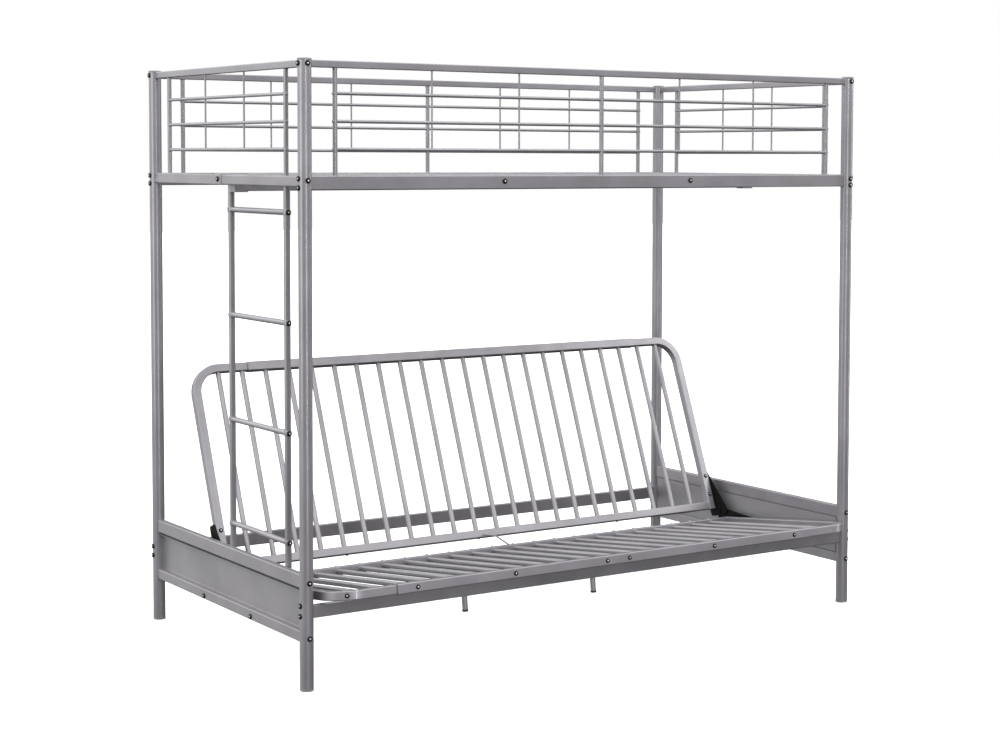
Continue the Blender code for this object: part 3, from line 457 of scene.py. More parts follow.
def folded_sheet(low, high, is_open):
    """A sheet folded round a block, without the faces that pass a test."""
    size = sizes()
    sheet = block(low, high)
    shape(sheet, "FACE")
    choose(sheet, "faces", is_open)
    bpy.ops.mesh.delete(type="FACE")
    bpy.ops.mesh.select_mode(type="EDGE")
    choose(sheet, "edges", lambda edge: len(edge.link_faces) == 2)
    bpy.ops.mesh.bevel(offset=size.fold, segments=4, affect="EDGES")
    leave()
    apply_modifier(sheet, "SOLIDIFY", thickness=size.sheet, offset=-1)
    return sheet


def circle_outline(point, ahead, radius, sides):
    """An open circle round a point, facing ahead."""
    deselect()
    bpy.ops.mesh.primitive_circle_add(vertices=sides, radius=radius, fill_type="NOTHING", location=point,
                                      rotation=ahead.to_track_quat("Z", "Y").to_euler())
    outline = set_down(bpy.context.object)
    shape(outline)
    choose_all()
    return outline


def round_bar(points, radius, sides, bend=0.0, steps=0, rounding=0.0):
    """A round bar along points."""
    points = [Vector(point) for point in points]
    outline = circle_outline(points[0], points[1] - points[0], radius, sides)
    return carried(outline, points, bend, steps, rounding)


def square_bar(points, width, corner, bend=0.0, steps=0, rounding=0.0, neck=None):
    """A square tube with rounded corners along points."""
    points = [Vector(point) for point in points]
    deselect()
    bpy.ops.mesh.primitive_plane_add(size=width, location=points[0],
                                     rotation=(points[1] - points[0]).to_track_quat("Z", "Y").to_euler())
    outline = set_down(bpy.context.object)
    shape(outline, "VERT")
    choose_all()
    bpy.ops.mesh.bevel(offset=corner, segments=4, affect="VERTICES")
    choose_all()
    bpy.ops.mesh.delete(type="ONLY_FACE")
    bpy.ops.mesh.select_mode(type="EDGE")
    choose_all()
    return carried(outline, points, bend, steps, rounding, neck)


def carried(bar, points, bend, steps, rounding, neck=None):
    """Carries an open outline along points, bent round each inner point, drawn in at a neck near the end."""
    here = points[0]
    for before, corner, after in zip(points, points[1:-1], points[2:]):
        near = (corner - before).normalized()
        far = (after - corner).normalized()
        angle = near.angle(far)
        cut = bend * math.tan(angle / 2)
        extrude(corner - near * cut - here)
        axis = near.cross(far).normalized()
        hub = corner - near * cut + axis.cross(near) * bend
        bpy.ops.mesh.spin(steps=steps, angle=-angle, center=hub, axis=axis)
        here = corner + far * cut
    end = points[-1]
    if neck:
        reach, share = neck
        ahead = (end - here).normalized()
        for stop in (end - ahead * reach, end - ahead * (reach - NECK_RUN)):
            extrude(stop - here)
            here = stop
        bpy.ops.transform.resize(value=(share, share, share), center_override=here)
    extrude(end - here)
    close_up()
    if rounding:
        choose(bar, "edges", lambda edge: any(len(face.verts) > 4 for face in edge.link_faces))
        bpy.ops.mesh.bevel(offset=rounding, segments=4, affect="EDGES")
    leave()
    return bar


def turned(profile, sides):
    """A piece turned about Z at the origin from (radius, height) steps, closed at both ends."""
    radius, height = profile[0]
    piece = circle_outline((0, 0, height), Z_AXIS, radius, sides)
    for next_radius, next_height in profile[1:]:
        extrude((0, 0, next_height - height))
        ratio = next_radius / radius
        bpy.ops.transform.resize(value=(ratio, ratio, 1), center_override=(0, 0, next_height))
        radius, height = next_radius, next_height
    close_up()
    leave()
    return piece


def scaled(profile, radius, height):
    """A profile's shares at a radius and a height."""
    return [(share * radius, rise * height) for share, rise in profile]


def joined(pieces):
    """Several pieces made into one."""
    take(pieces[0])
    for piece in pieces:
        piece.select_set(True)
    if len(pieces) > 1:
        bpy.ops.object.join()
    return bpy.context.view_layer.objects.active


def placed(pattern, matrices):
    """Copies of a pattern at each matrix, joined, with the pattern removed."""
    copies = []
    for matrix in matrices:
        twin = pattern.copy()
        twin.data = pattern.data.copy()
        bpy.context.scene.collection.objects.link(twin)
        twin.data.transform(matrix)
        copies.append(twin)
    bpy.data.objects.remove(pattern, do_unlink=True)
    return joined(copies)


def facing(point, direction):
    """Matrix that puts a piece modelled along Z at a point, along a direction."""
    return Matrix.Translation(point) @ Vector(direction).to_track_quat("Z", "Y").to_matrix().to_4x4()


def complete(piece, name, body, finish, node=None, carry=None):
    """Names a piece, shades it, gives it its finish and lets it ride on its body, in place of its node."""
    if carry is not None:
        piece.data.transform(carry)
    piece.name = name
    piece.data.name = name
    take(piece)
    bpy.ops.object.shade_smooth_by_angle(angle=SMOOTH_BELOW)
    apply_modifier(piece, "WEIGHTED_NORMAL", keep_sharp=True)
    piece.data.materials.clear()
    made, slot = FINISHES[finish]()
    piece.data.materials.append(made)
    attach(piece, body)
    if node:
        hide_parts(node)


# Finishes

class Value:
    """A node's output, with arithmetic that adds Math nodes."""

    def __init__(self, finish, socket):
        self.finish = finish
        self.socket = socket

    def _math(self, operation, other):
        return self.finish.node("ShaderNodeMath", {"operation": operation}, {0: self, 1: other})

    def __add__(self, other):
        return self._math("ADD", other)

    __radd__ = __add__

    def __mul__(self, other):
        return self._math("MULTIPLY", other)

    __rmul__ = __mul__


class Finish:
    """A procedural material under construction, or the surround."""

    def __init__(self, name, holder=None):
        self.material = holder or bpy.data.materials.new(name)
        self.material.use_nodes = True
        self.tree = self.material.node_tree
        self.tree.nodes.clear()
        self.place = self.node("ShaderNodeTexCoord", {}, {}, "Generated" if holder else "Object")

    def node(self, kind, settings, inputs, output=0):
        """Adds a node with its settings and inputs and gives back one output."""
        made = self.tree.nodes.new(kind)
        for key, value in settings.items():
            if key == "stops":
                for index, (position, shade) in enumerate(value):
                    stops = made.color_ramp.elements
                    stop = stops[index] if index < 2 else stops.new(position)
                    stop.position = position
                    stop.color = (*shade, 1) if hasattr(shade, "__len__") else (shade, shade, shade, 1)
            else:
                setattr(made, key, value)
        for key, value in inputs.items():
            if isinstance(value, Value):
                self.tree.links.new(value.socket, made.inputs[key])
            else:
                made.inputs[key].default_value = value
        return Value(self, made.outputs[output])

    def noise(self, scale, detail=3, roughness=0.55, stretch=(1, 1, 1)):
        """Noise in the piece's own place."""
        place = self.node("ShaderNodeMapping", {}, {"Vector": self.place, "Scale": stretch})
        return self.node("ShaderNodeTexNoise", {}, {"Vector": place, "Scale": scale, "Detail": detail,
                                                    "Roughness": roughness}, "Fac")

    def ramp(self, value, *stops):
        """A colour ramp on a value."""
        return self.node("ShaderNodeValToRGB", {"stops": stops}, {"Fac": value}, "Color")

    def bump(self, height, strength, distance):
        """A bump from a height."""
        return self.node("ShaderNodeBump", {}, {"Height": height, "Strength": strength, "Distance": distance},
                         "Normal")

    def towards(self, direction):
        """How far the place points in a direction."""
        return self.node("ShaderNodeVectorMath", {"operation": "DOT_PRODUCT"}, {0: self.place, 1: direction},
                         "Value")

    def surface(self, **inputs):
        """The principled surface and the material's output."""
        shader = self.node("ShaderNodeBsdfPrincipled", {},
                           {key.replace("_", " "): value for key, value in inputs.items()})
        self.show(shader, "ShaderNodeOutputMaterial")
        return self.material

    def show(self, shader, kind):
        """Links a shader to the output."""
        made = self.tree.nodes.new(kind)
        self.tree.links.new(shader.socket, made.inputs["Surface"])


def shades(base, *factors):
    """A colour made lighter or darker by each factor."""
    return [tuple(min(1, channel * factor) for channel in base) for factor in factors]


def once(build):
    """Makes a finish the first time it is asked for, and gives the same one after."""
    made = {}

    def give():
        if "finish" not in made:
            made["finish"] = build()
        return made["finish"]
    return give


@once
def silver_coat():
    """Silver grey powder coat on tube: fine flake, soft clouding and a faint orange peel."""
    finish = Finish("silver_coat")
    low, middle, high = shades(colours().coat, 0.86, 1.0, 1.16)
    cloud = finish.noise(7, 4)
    flake = finish.noise(1400, 1, 0.3)
    peel = finish.noise(520, 2, 0.4)
    return finish.surface(
        Base_Color=finish.ramp(cloud * 0.7 + flake * 0.3, (0.32, low), (0.68, high), (0.5, middle)),
        Metallic=0.62, Roughness=0.31 + flake * 0.12 + cloud * 0.06, Coat_Weight=0.5, Coat_Roughness=0.09,
        Normal=finish.bump(peel + flake * 0.4, 0.10, mm(0.15))), "silver_coat"


@once
def sheet_coat():
    """The same coat on sheet, a little rougher, with cooler patches and slow waves from forming."""
    finish = Finish("sheet_coat")
    low, high = shades(colours().sheet, 0.9, 1.12)
    middle = tuple(colours().sheet_tint)
    cloud = finish.noise(3.2, 3)
    flake = finish.noise(1300, 1, 0.3)
    wave = finish.noise(3.2, 1, 0.3, (0.3, 1, 1))
    return finish.surface(
        Base_Color=finish.ramp(cloud * 0.75 + flake * 0.25, (0.42, low), (0.74, middle), (0.56, high)),
        Metallic=0.5, Roughness=0.38 + flake * 0.12 + cloud * 0.06, Coat_Weight=0.3, Coat_Roughness=0.16,
        Normal=finish.bump(wave * 6 + flake * 0.3, 0.12, mm(0.4))), "silver_sheet"


def worn(name, slot, shade, factors, stops, wear, roughness, bump, grain=None, **more):
    """A finish in two shades, parted by wear that also roughens it, with relief from the wear or a grain."""
    finish = Finish(name)
    base, rubbed = shades(getattr(colours(), shade), *factors)
    patches = finish.noise(*wear)
    relief = finish.noise(*grain) if grain else patches
    tone = finish.ramp(patches, (stops[0], base), (stops[1], rubbed))
    return finish.surface(Base_Color=tone, Roughness=roughness[0] + patches * roughness[1],
                          Normal=finish.bump(relief, bump[0], mm(bump[1])), **more), slot


def moulded(name, peak):
    """Moulded plastic with a fine spark-eroded grain."""
    finish = Finish(name)
    low, high = shades(getattr(colours(), name), 0.9, peak)
    cloud = finish.noise(30, 3)
    grain = finish.noise(1600, 2, 0.6)
    return finish.surface(
        Base_Color=finish.ramp(cloud, (0.35, low), (0.7, high)), Metallic=0.0,
        Roughness=0.42 + grain * 0.2, Normal=finish.bump(grain, 0.22, mm(0.12))), name


# Matt black coat on stamped steel, with paler rubbed patches
BLACK_STEEL = dict(
    name="black_steel", slot="black_steel", shade="black_steel", factors=(1.0, 4.0), stops=(0.62, 0.95),
    wear=(90, 5, 0.65), grain=(900, 2), roughness=(0.5, 0.2), bump=(0.18, 0.2), Metallic=0.0,
    Specular_IOR_Level=0.12)
# Blackened, oiled bolt steel, a little rubbed
BOLT_BLACK = dict(
    name="bolt_black", slot="black_steel", shade="bolts", factors=(1.0, 5.0), stops=(0.45, 0.85),
    wear=(420, 4, 0.6), roughness=(0.26, 0.16), bump=(0.08, 0.1), Metallic=0.0, Specular_IOR_Level=0.2)
# Bright bare steel in the bolts' sockets, scratched by the key; its near-white tone is also a painted
# highlight, standing in for the glint at the middle of each dark bolt head
SOCKET_HIGHLIGHT_STEEL = dict(
    name="socket_steel", slot="silver_coat", shade="socket", factors=(1.0, 0.7), stops=(0.45, 0.9),
    wear=(900, 4, 0.6), roughness=(0.25, 0.2), bump=(0.1, 0.1), Metallic=0.3)
# Powder coat over rippled weld beads
WELD_COAT = dict(
    name="weld_coat", slot="silver_coat", shade="coat", factors=(0.8, 1.15), stops=(0.35, 0.65),
    wear=(700, 3, 0.6), roughness=(0.32, 0.14), bump=(0.35, 0.3), Metallic=0.6)

FINISHES = {
    "coat": silver_coat, "sheet": sheet_coat,
    "black steel": once(lambda: worn(**BLACK_STEEL)), "bolt": once(lambda: worn(**BOLT_BLACK)),
    # The socket finish is a painted highlight on the bolt heads
    "socket": once(lambda: worn(**SOCKET_HIGHLIGHT_STEEL)), "weld": once(lambda: worn(**WELD_COAT)),
    "black plastic": once(lambda: moulded("black_plastic", 1.3)),
    "grey plastic": once(lambda: moulded("grey_plastic", 1.1)),
}


# Pieces

def pressed(node, name, body, finish, edge):
    """A pressed piece in its node's own shape, with its sharp edges bevelled."""
    source = frame["nodes"][node]
    piece = source.copy()
    piece.data = source.data.copy()
    piece.parent = None
    for key in list(piece.keys()):
        del piece[key]
    bpy.context.scene.collection.objects.link(piece)
    shape(piece)
    choose_all()
    bpy.ops.mesh.remove_doubles(threshold=MERGE)
    bpy.ops.mesh.dissolve_limited(angle_limit=DISSOLVE_BELOW)
    leave()
    soften(piece, edge)
    complete(piece, name, body, finish, node)


def rail_in_place(node, name, along, height=None):
    """A rectangular rail in the place of its node, or only its upper part in a given height."""
    low, high = span(node)
    if height:
        low.z = high.z - height
    complete(square_tube(low, high, along, sizes().rail_corner), name, "frame", "coat", node)


class LOFTBED_OT_posts(bpy.types.Operator):
    """Four round posts with domed caps and moulded feet"""

    bl_idname = "loftbed.posts"
    bl_label = "Posts"

    def execute(self, context):
        radius = post_radius()
        for corner in CORNERS:
            low, high = span(f"post_{corner}")
            tube = round_bar([post_axis(corner, low.z), post_axis(corner, high.z)], radius, 64)
            soften(tube, POST_EDGE)
            complete(tube, f"post_tube_{corner}", "frame", "coat", f"post_{corner}")
            for node, name, profile in (("post_cap", "domed_cap", self.cap),
                                        ("foot", "moulded_foot", self.foot)):
                complete(turned(profile(span(f"{node}_{corner}"), radius), 56), f"{name}_{corner}", "frame",
                         "grey plastic", f"{node}_{corner}", Matrix.Translation(post_axis(corner)))
        return {"FINISHED"}

    def cap(self, box, radius):
        """Profile of a domed cap with a rim that is a little wider than the post."""
        low, high = box
        rim = high.z - CAP_RISE
        edge = (high.x - low.x) / 2
        dome = [(edge * math.cos(turn) * 0.32 + edge * 0.68,
                 rim + CAP_RISE * 0.4 + CAP_RISE * 0.6 * math.sin(turn))
                for turn in [math.radians(15 * step) for step in range(5)]]
        return [(radius * 0.9, rim), (edge - mm(0.5), rim), (edge, rim + mm(0.5)), *dome,
                (edge * 0.5, high.z - mm(0.15)), (edge * 0.2, high.z)]

    def foot(self, box, radius):
        """Profile of a moulded foot with a rounded sole."""
        sole = box[0].z
        return [(radius * 0.55, sole), (radius - mm(2.2), sole), (radius - mm(0.7), sole + mm(0.6)),
                (radius, sole + mm(2)), (radius, FOOT_TOP - mm(0.5)), (radius - mm(0.5), FOOT_TOP),
                (radius * 0.9, FOOT_TOP)]


class LOFTBED_OT_bunk_rails(bpy.types.Operator):
    """Side rails and end rails of the bunk, with the splice in the left end rail"""

    bl_idname = "loftbed.bunk_rails"
    bl_label = "Bunk rails"

    def execute(self, context):
        size = sizes()
        for side in ("front", "rear"):
            rail_in_place(f"bunk_rail_{side}", f"bunk_side_rail_{side}", 0)
        rail_in_place("bunk_end_rail_right", "bunk_end_tube_right", 1, size.end_rail)
        front_low, front_high = span("bunk_end_rail_left_front")
        rear_low, rear_high = span("bunk_end_rail_left_rear")
        seam = rear_low.y - size.splice_shift
        bottom = rear_high.z - size.end_rail
        step = size.splice_step
        for label, low, high in (
                ("front", (front_low.x + step, front_low.y, bottom + step),
                 (front_high.x - step, seam - step, front_high.z - step)),
                ("rear", (rear_low.x, seam, bottom), (rear_high.x, rear_high.y, rear_high.z))):
            half = square_tube(low, high, 1, size.rail_corner)
            soften(half, SEAM_EDGE, 50)
            complete(half, f"bunk_end_tube_left_{label}", "frame", "coat", f"bunk_end_rail_left_{label}")
        inset = step * 2
        tongue = square_tube((rear_low.x + inset, seam - TONGUE_AHEAD, bottom + inset),
                             (rear_high.x - inset, seam + TONGUE_BEHIND, rear_high.z - inset), 1, step)
        complete(tongue, "end_rail_tongue", "frame", "coat")
        return {"FINISHED"}


class LOFTBED_OT_guards(bpy.types.Operator):
    """Welded guards on all four sides of the bunk"""

    bl_idname = "loftbed.guards"
    bl_label = "Guards"

    def execute(self, context):
        for side in SIDES:
            self.guard(side)
        return {"FINISHED"}

    def guard(self, side):
        """One guard: top rail, uprights, rods with rounded ends and thin wires."""
        size = sizes()
        node = f"guard_{side}"
        along = SIDES[side][2]["along"]
        across = 1 - along
        middle = centre(node)[across]
        low, high = span(node)
        low.z = high.z - GUARD_RAIL_HEIGHT
        low[across] = middle - GUARD_RAIL_HALF
        high[across] = middle + GUARD_RAIL_HALF
        parts = [square_tube(low, high, along, size.rail_corner)]
        base = top_of("bunk_rail_front")
        under = low.z + GUARD_BITE
        uprights = guard_places(side, "uprights")
        tip = uprights[-1] + size.upright / 2 + size.rod_proud
        for place in uprights:
            parts.append(round_bar([on_side(side, place, base), on_side(side, place, under)],
                                   size.upright / 2, 28))
        for row in range(GUARD_RODS):
            level = base + size.rod_rise + row * size.rod_pitch
            parts.append(round_bar([on_side(side, -tip, level), on_side(side, tip, level)], size.rod / 2, 20,
                                   rounding=ROD_ROUNDING))
        for place in guard_places(side, "wires"):
            parts.append(round_bar([on_side(side, place, base + size.rod_rise), on_side(side, place, under)],
                                   size.wire / 2, 14))
        complete(joined(parts), f"guard_frame_{side}", "frame", "coat", node)


class LOFTBED_OT_deck(bpy.types.Operator):
    """The bunk's folded slats on two flat bars, and the beam under them on its brackets"""

    bl_idname = "loftbed.deck"
    bl_label = "Slat deck"

    def execute(self, context):
        low, high = span("bunk_slat_deck")
        parts = []
        for y in (low.y, high.y - DECK_BAR):
            parts.append(square_tube((low.x, y, high.z - DECK_BAR_HEIGHT), (high.x, y + DECK_BAR, high.z), 0,
                                     DECK_BAR_EDGE, 2))
        top = high.z - DECK_SLAT_DROP
        slat = folded_sheet(Vector((-DECK_SLAT_HALF, low.y + DECK_BAR, top - DECK_SLAT_HEIGHT)),
                            Vector((DECK_SLAT_HALF, high.y - DECK_BAR, top)),
                            lambda face: face.normal.z < -0.5 or abs(face.normal.y) > 0.5)
        parts.append(placed(slat, [Matrix.Translation((x, 0, 0))
                                   for x in spread(high.x - DECK_SLAT_MARGIN, DECK_SLATS)]))
        complete(joined(parts), "slat_deck", "frame", "coat", "bunk_slat_deck")
        rail_in_place("centre_beam", "bunk_beam", 0)
        for label, _ in ENDS:
            pressed(f"beam_bracket_{label}", f"folded_bracket_{label}", "frame", "sheet", BRACKET_EDGE)
        return {"FINISHED"}


class LOFTBED_OT_ladder(bpy.types.Operator):
    """Two stiles and the rungs between them"""

    bl_idname = "loftbed.ladder"
    bl_label = "Ladder"

    def execute(self, context):
        for label in ("front", "rear"):
            node = f"ladder_stile_{label}"
            low, high = span(node)
            x, y, _ = centre(node)
            stile = round_bar([(x, y, low.z), (x, y, high.z)], (high.x - low.x) / 2, 36)
            soften(stile, STILE_EDGE)
            complete(stile, f"stile_{label}", "frame", "coat", node)
        stiles = [centre("ladder_stile_front"), centre("ladder_stile_rear")]
        for number, height in enumerate(rung_heights(), 1):
            rung = round_bar([(stile.x, stile.y, height) for stile in stiles], sizes().rung / 2, 28)
            complete(rung, f"rung_{number}", "frame", "coat", f"ladder_rung_{number}")
        self.saddles(stiles)
        return {"FINISHED"}

    def saddles(self, stiles):
        """Rounded saddles that wrap the stiles at each rung's ends."""
        half = sizes().rung / 2
        low, high = span("ladder_stile_front")
        inner = (high.x - low.x) / 2
        outer = inner + sizes().saddle
        lip = inner + (outer - inner) * 0.4
        root = inner - SADDLE_BITE
        profile = [(root, -half), (lip, -half * 0.96), (outer, -half * 0.72), (outer, half * 0.72),
                   (lip, half * 0.96), (root, half)]
        places = [Matrix.Translation((stile.x, stile.y, height))
                  for height in rung_heights() for stile in stiles]
        complete(placed(turned(profile, 36), places), "rung_saddles", "frame", "coat")


class LOFTBED_OT_arms(bpy.types.Operator):
    """Lower end arms with their folded panels, and the two lower side rails"""

    bl_idname = "loftbed.arms"
    bl_label = "Arms and lower rails"

    def execute(self, context):
        for label, sign in ENDS:
            rail_in_place(f"arm_rail_{label}", f"arm_tube_{label}", 1)
            rail_in_place(f"arm_low_rail_{label}", f"arm_low_tube_{label}", 1)
            self.panel(label, sign)
        for side in ("front", "rear"):
            rail_in_place(f"lower_rail_{side}", f"lower_side_rail_{side}", 0)
        return {"FINISHED"}

    def panel(self, label, sign):
        """A folded pan with round folds, open to the outside of the bed, hung on a strip under the rail."""
        size = sizes()
        node = f"arm_panel_{label}"
        low, high = span(node)
        top = high.z
        high.z -= size.groove
        parts = [folded_sheet(low, high, lambda face: face.normal.x * sign > 0.5)]
        web = low.x if sign > 0 else high.x
        for setback, foot, head in ((0, high.z - size.fold, top - size.lip_gap),
                                    (STRIP_SETBACK, high.z - size.sheet, top)):
            inner, outer = sorted(web + sign * size.sheet * step for step in (setback, setback + 1))
            parts.append(square_tube((inner, low.y, foot), (outer, high.y, head), 1, size.sheet / 4, 2))
        complete(joined(parts), f"folded_panel_{label}", "frame", "sheet", node)


class LOFTBED_OT_slide(bpy.types.Operator):
    """Slotted guides on the arms and the carriers that ride in them"""

    bl_idname = "loftbed.slide"
    bl_label = "Slide"

    def execute(self, context):
        edge = sizes().plate_edge
        for label, _ in ENDS:
            pressed(f"slide_guide_{label}", f"slotted_guide_{label}", "frame", "coat", edge)
            pressed(f"carrier_{label}", f"carrier_plate_{label}", "carriage", "black steel", edge)
        return {"FINISHED"}


def bent_side(body, label, sign, near_y, far_y):
    """A side tube of the seat or the back, bent round into its sleeve."""
    size = sizes()
    x = sign * futon_axis()
    tail = sign * (futon_axis() - SLEEVE_INSET - SLEEVE_OVERLAP)
    bar = square_bar([(x, near_y, PIVOT_DROP), (x, far_y, PIVOT_DROP), (tail, far_y, PIVOT_DROP)],
                     size.futon_tube, size.futon_corner, size.futon_bend, 16, SIDE_TUBE_ROUNDING,
                     (SLEEVE_OVERLAP + size.neck, SLEEVE_NECK[label]))
    complete(bar, f"{body}_bent_tube_{label}", body, "coat", f"{body}_side_{label}", laid(body))


def futon_half(body, sleeve_node, rail_y, far_y):
    """The seat or the back: bent side tubes, a sleeve over their tails, and the cross rail with its slats."""
    size = sizes()
    near_y = rail_y + math.copysign(size.futon_tube / 2, rail_y - far_y)
    for label, sign in ENDS:
        bent_side(body, label, sign, near_y, far_y)
    half = futon_axis() - SLEEVE_INSET
    sleeve = square_bar([(-half, far_y, PIVOT_DROP), (half, far_y, PIVOT_DROP)], size.sleeve,
                        size.sleeve_corner, rounding=SLEEVE_ROUNDING)
    complete(sleeve, f"{body}_sleeve", body, "coat", sleeve_node, laid(body))
    half = futon_axis() - size.futon_tube / 2
    rail = square_bar([(-half, rail_y, PIVOT_DROP), (half, rail_y, PIVOT_DROP)], size.futon_tube,
                      size.futon_corner)
    slat = round_bar([(0, rail_y, PIVOT_DROP), (0, far_y, PIVOT_DROP)], size.slat / 2, 24)
    slats = placed(slat, [Matrix.Translation((x, 0, 0)) for x in slat_places()])
    complete(joined([rail, slats]), f"{body}_grille", body, "coat", f"{body}_slats", laid(body))


class LOFTBED_OT_seat(bpy.types.Operator):
    """The seat: bent side tubes, front sleeve and slats"""

    bl_idname = "loftbed.seat"
    bl_label = "Seat"

    def execute(self, context):
        futon_half("seat", "seat_front_tube", SEAT_REAR_Y, SEAT_FRONT_Y)
        return {"FINISHED"}


class LOFTBED_OT_back(bpy.types.Operator):
    """The back: bent side tubes, top sleeve and slats"""

    bl_idname = "loftbed.back"
    bl_label = "Back"

    def execute(self, context):
        futon_half("back", "back_top_tube", BACK_LOW_Y, BACK_TOP_Y)
        return {"FINISHED"}


class LOFTBED_OT_hinges(bpy.types.Operator):
    """Black hinge plates on the back and ears on the seat"""

    bl_idname = "loftbed.hinges"
    bl_label = "Hinges"

    def execute(self, context):
        edge = sizes().plate_edge
        for label, _ in ENDS:
            pressed(f"hinge_plate_{label}", f"stamped_hinge_{label}", "back", "black steel", edge)
            pressed(f"seat_ear_{label}", f"stamped_ear_{label}", "seat", "black steel", edge)
        return {"FINISHED"}


class LOFTBED_OT_leg(bpy.types.Operator):
    """The centre leg with its black caps, and the bent wire link"""

    bl_idname = "loftbed.leg"
    bl_label = "Centre leg"

    def execute(self, context):
        size = sizes()
        drop = PIVOT_DROP - size.slat / 2 - size.leg / 2 + LEG_BITE
        foot = LEG_REACH + LEG_IN_CAP
        bar = round_bar([(-LEG_PLACE, LEG_SET, foot), (-LEG_PLACE, LEG_SET, drop), (LEG_PLACE, LEG_SET, drop),
                         (LEG_PLACE, LEG_SET, foot)], size.leg / 2, 28, size.leg_bend, 12)
        complete(bar, "bent_leg", "seat", "coat", "centre_leg", laid("seat"))
        profile = [(LEG_CAP_RADIUS * share, LEG_REACH + mm(rise)) for share, rise in LEG_CAP]
        for label, sign in ENDS:
            place = laid("seat") @ Matrix.Translation((sign * LEG_PLACE, LEG_SET, 0))
            complete(turned(profile, 36), f"black_leg_cap_{label}", "seat", "black plastic",
                     f"leg_cap_{label}", place)
        self.link()
        return {"FINISHED"}

    def link(self):
        """The bent wire that stands on the seat's rear rail and reaches to the back."""
        size = sizes()
        low, high = span("wire_link")
        flat = laid("seat").inverted()
        foot = flat @ Vector((0, low.y + size.link / 2, low.z))
        tip = flat @ Vector((0, high.y, high.z - size.link / 2))
        tip.x = -size.link_lean
        bar = round_bar([(size.link_lean, SEAT_REAR_Y, foot.z), (-size.link_lean, SEAT_REAR_Y, tip.z), tip],
                        size.link / 2, 16, size.link * 1.2, 8, LINK_ROUNDING)
        complete(bar, "bent_wire_link", "seat", "coat", "wire_link", laid("seat"))


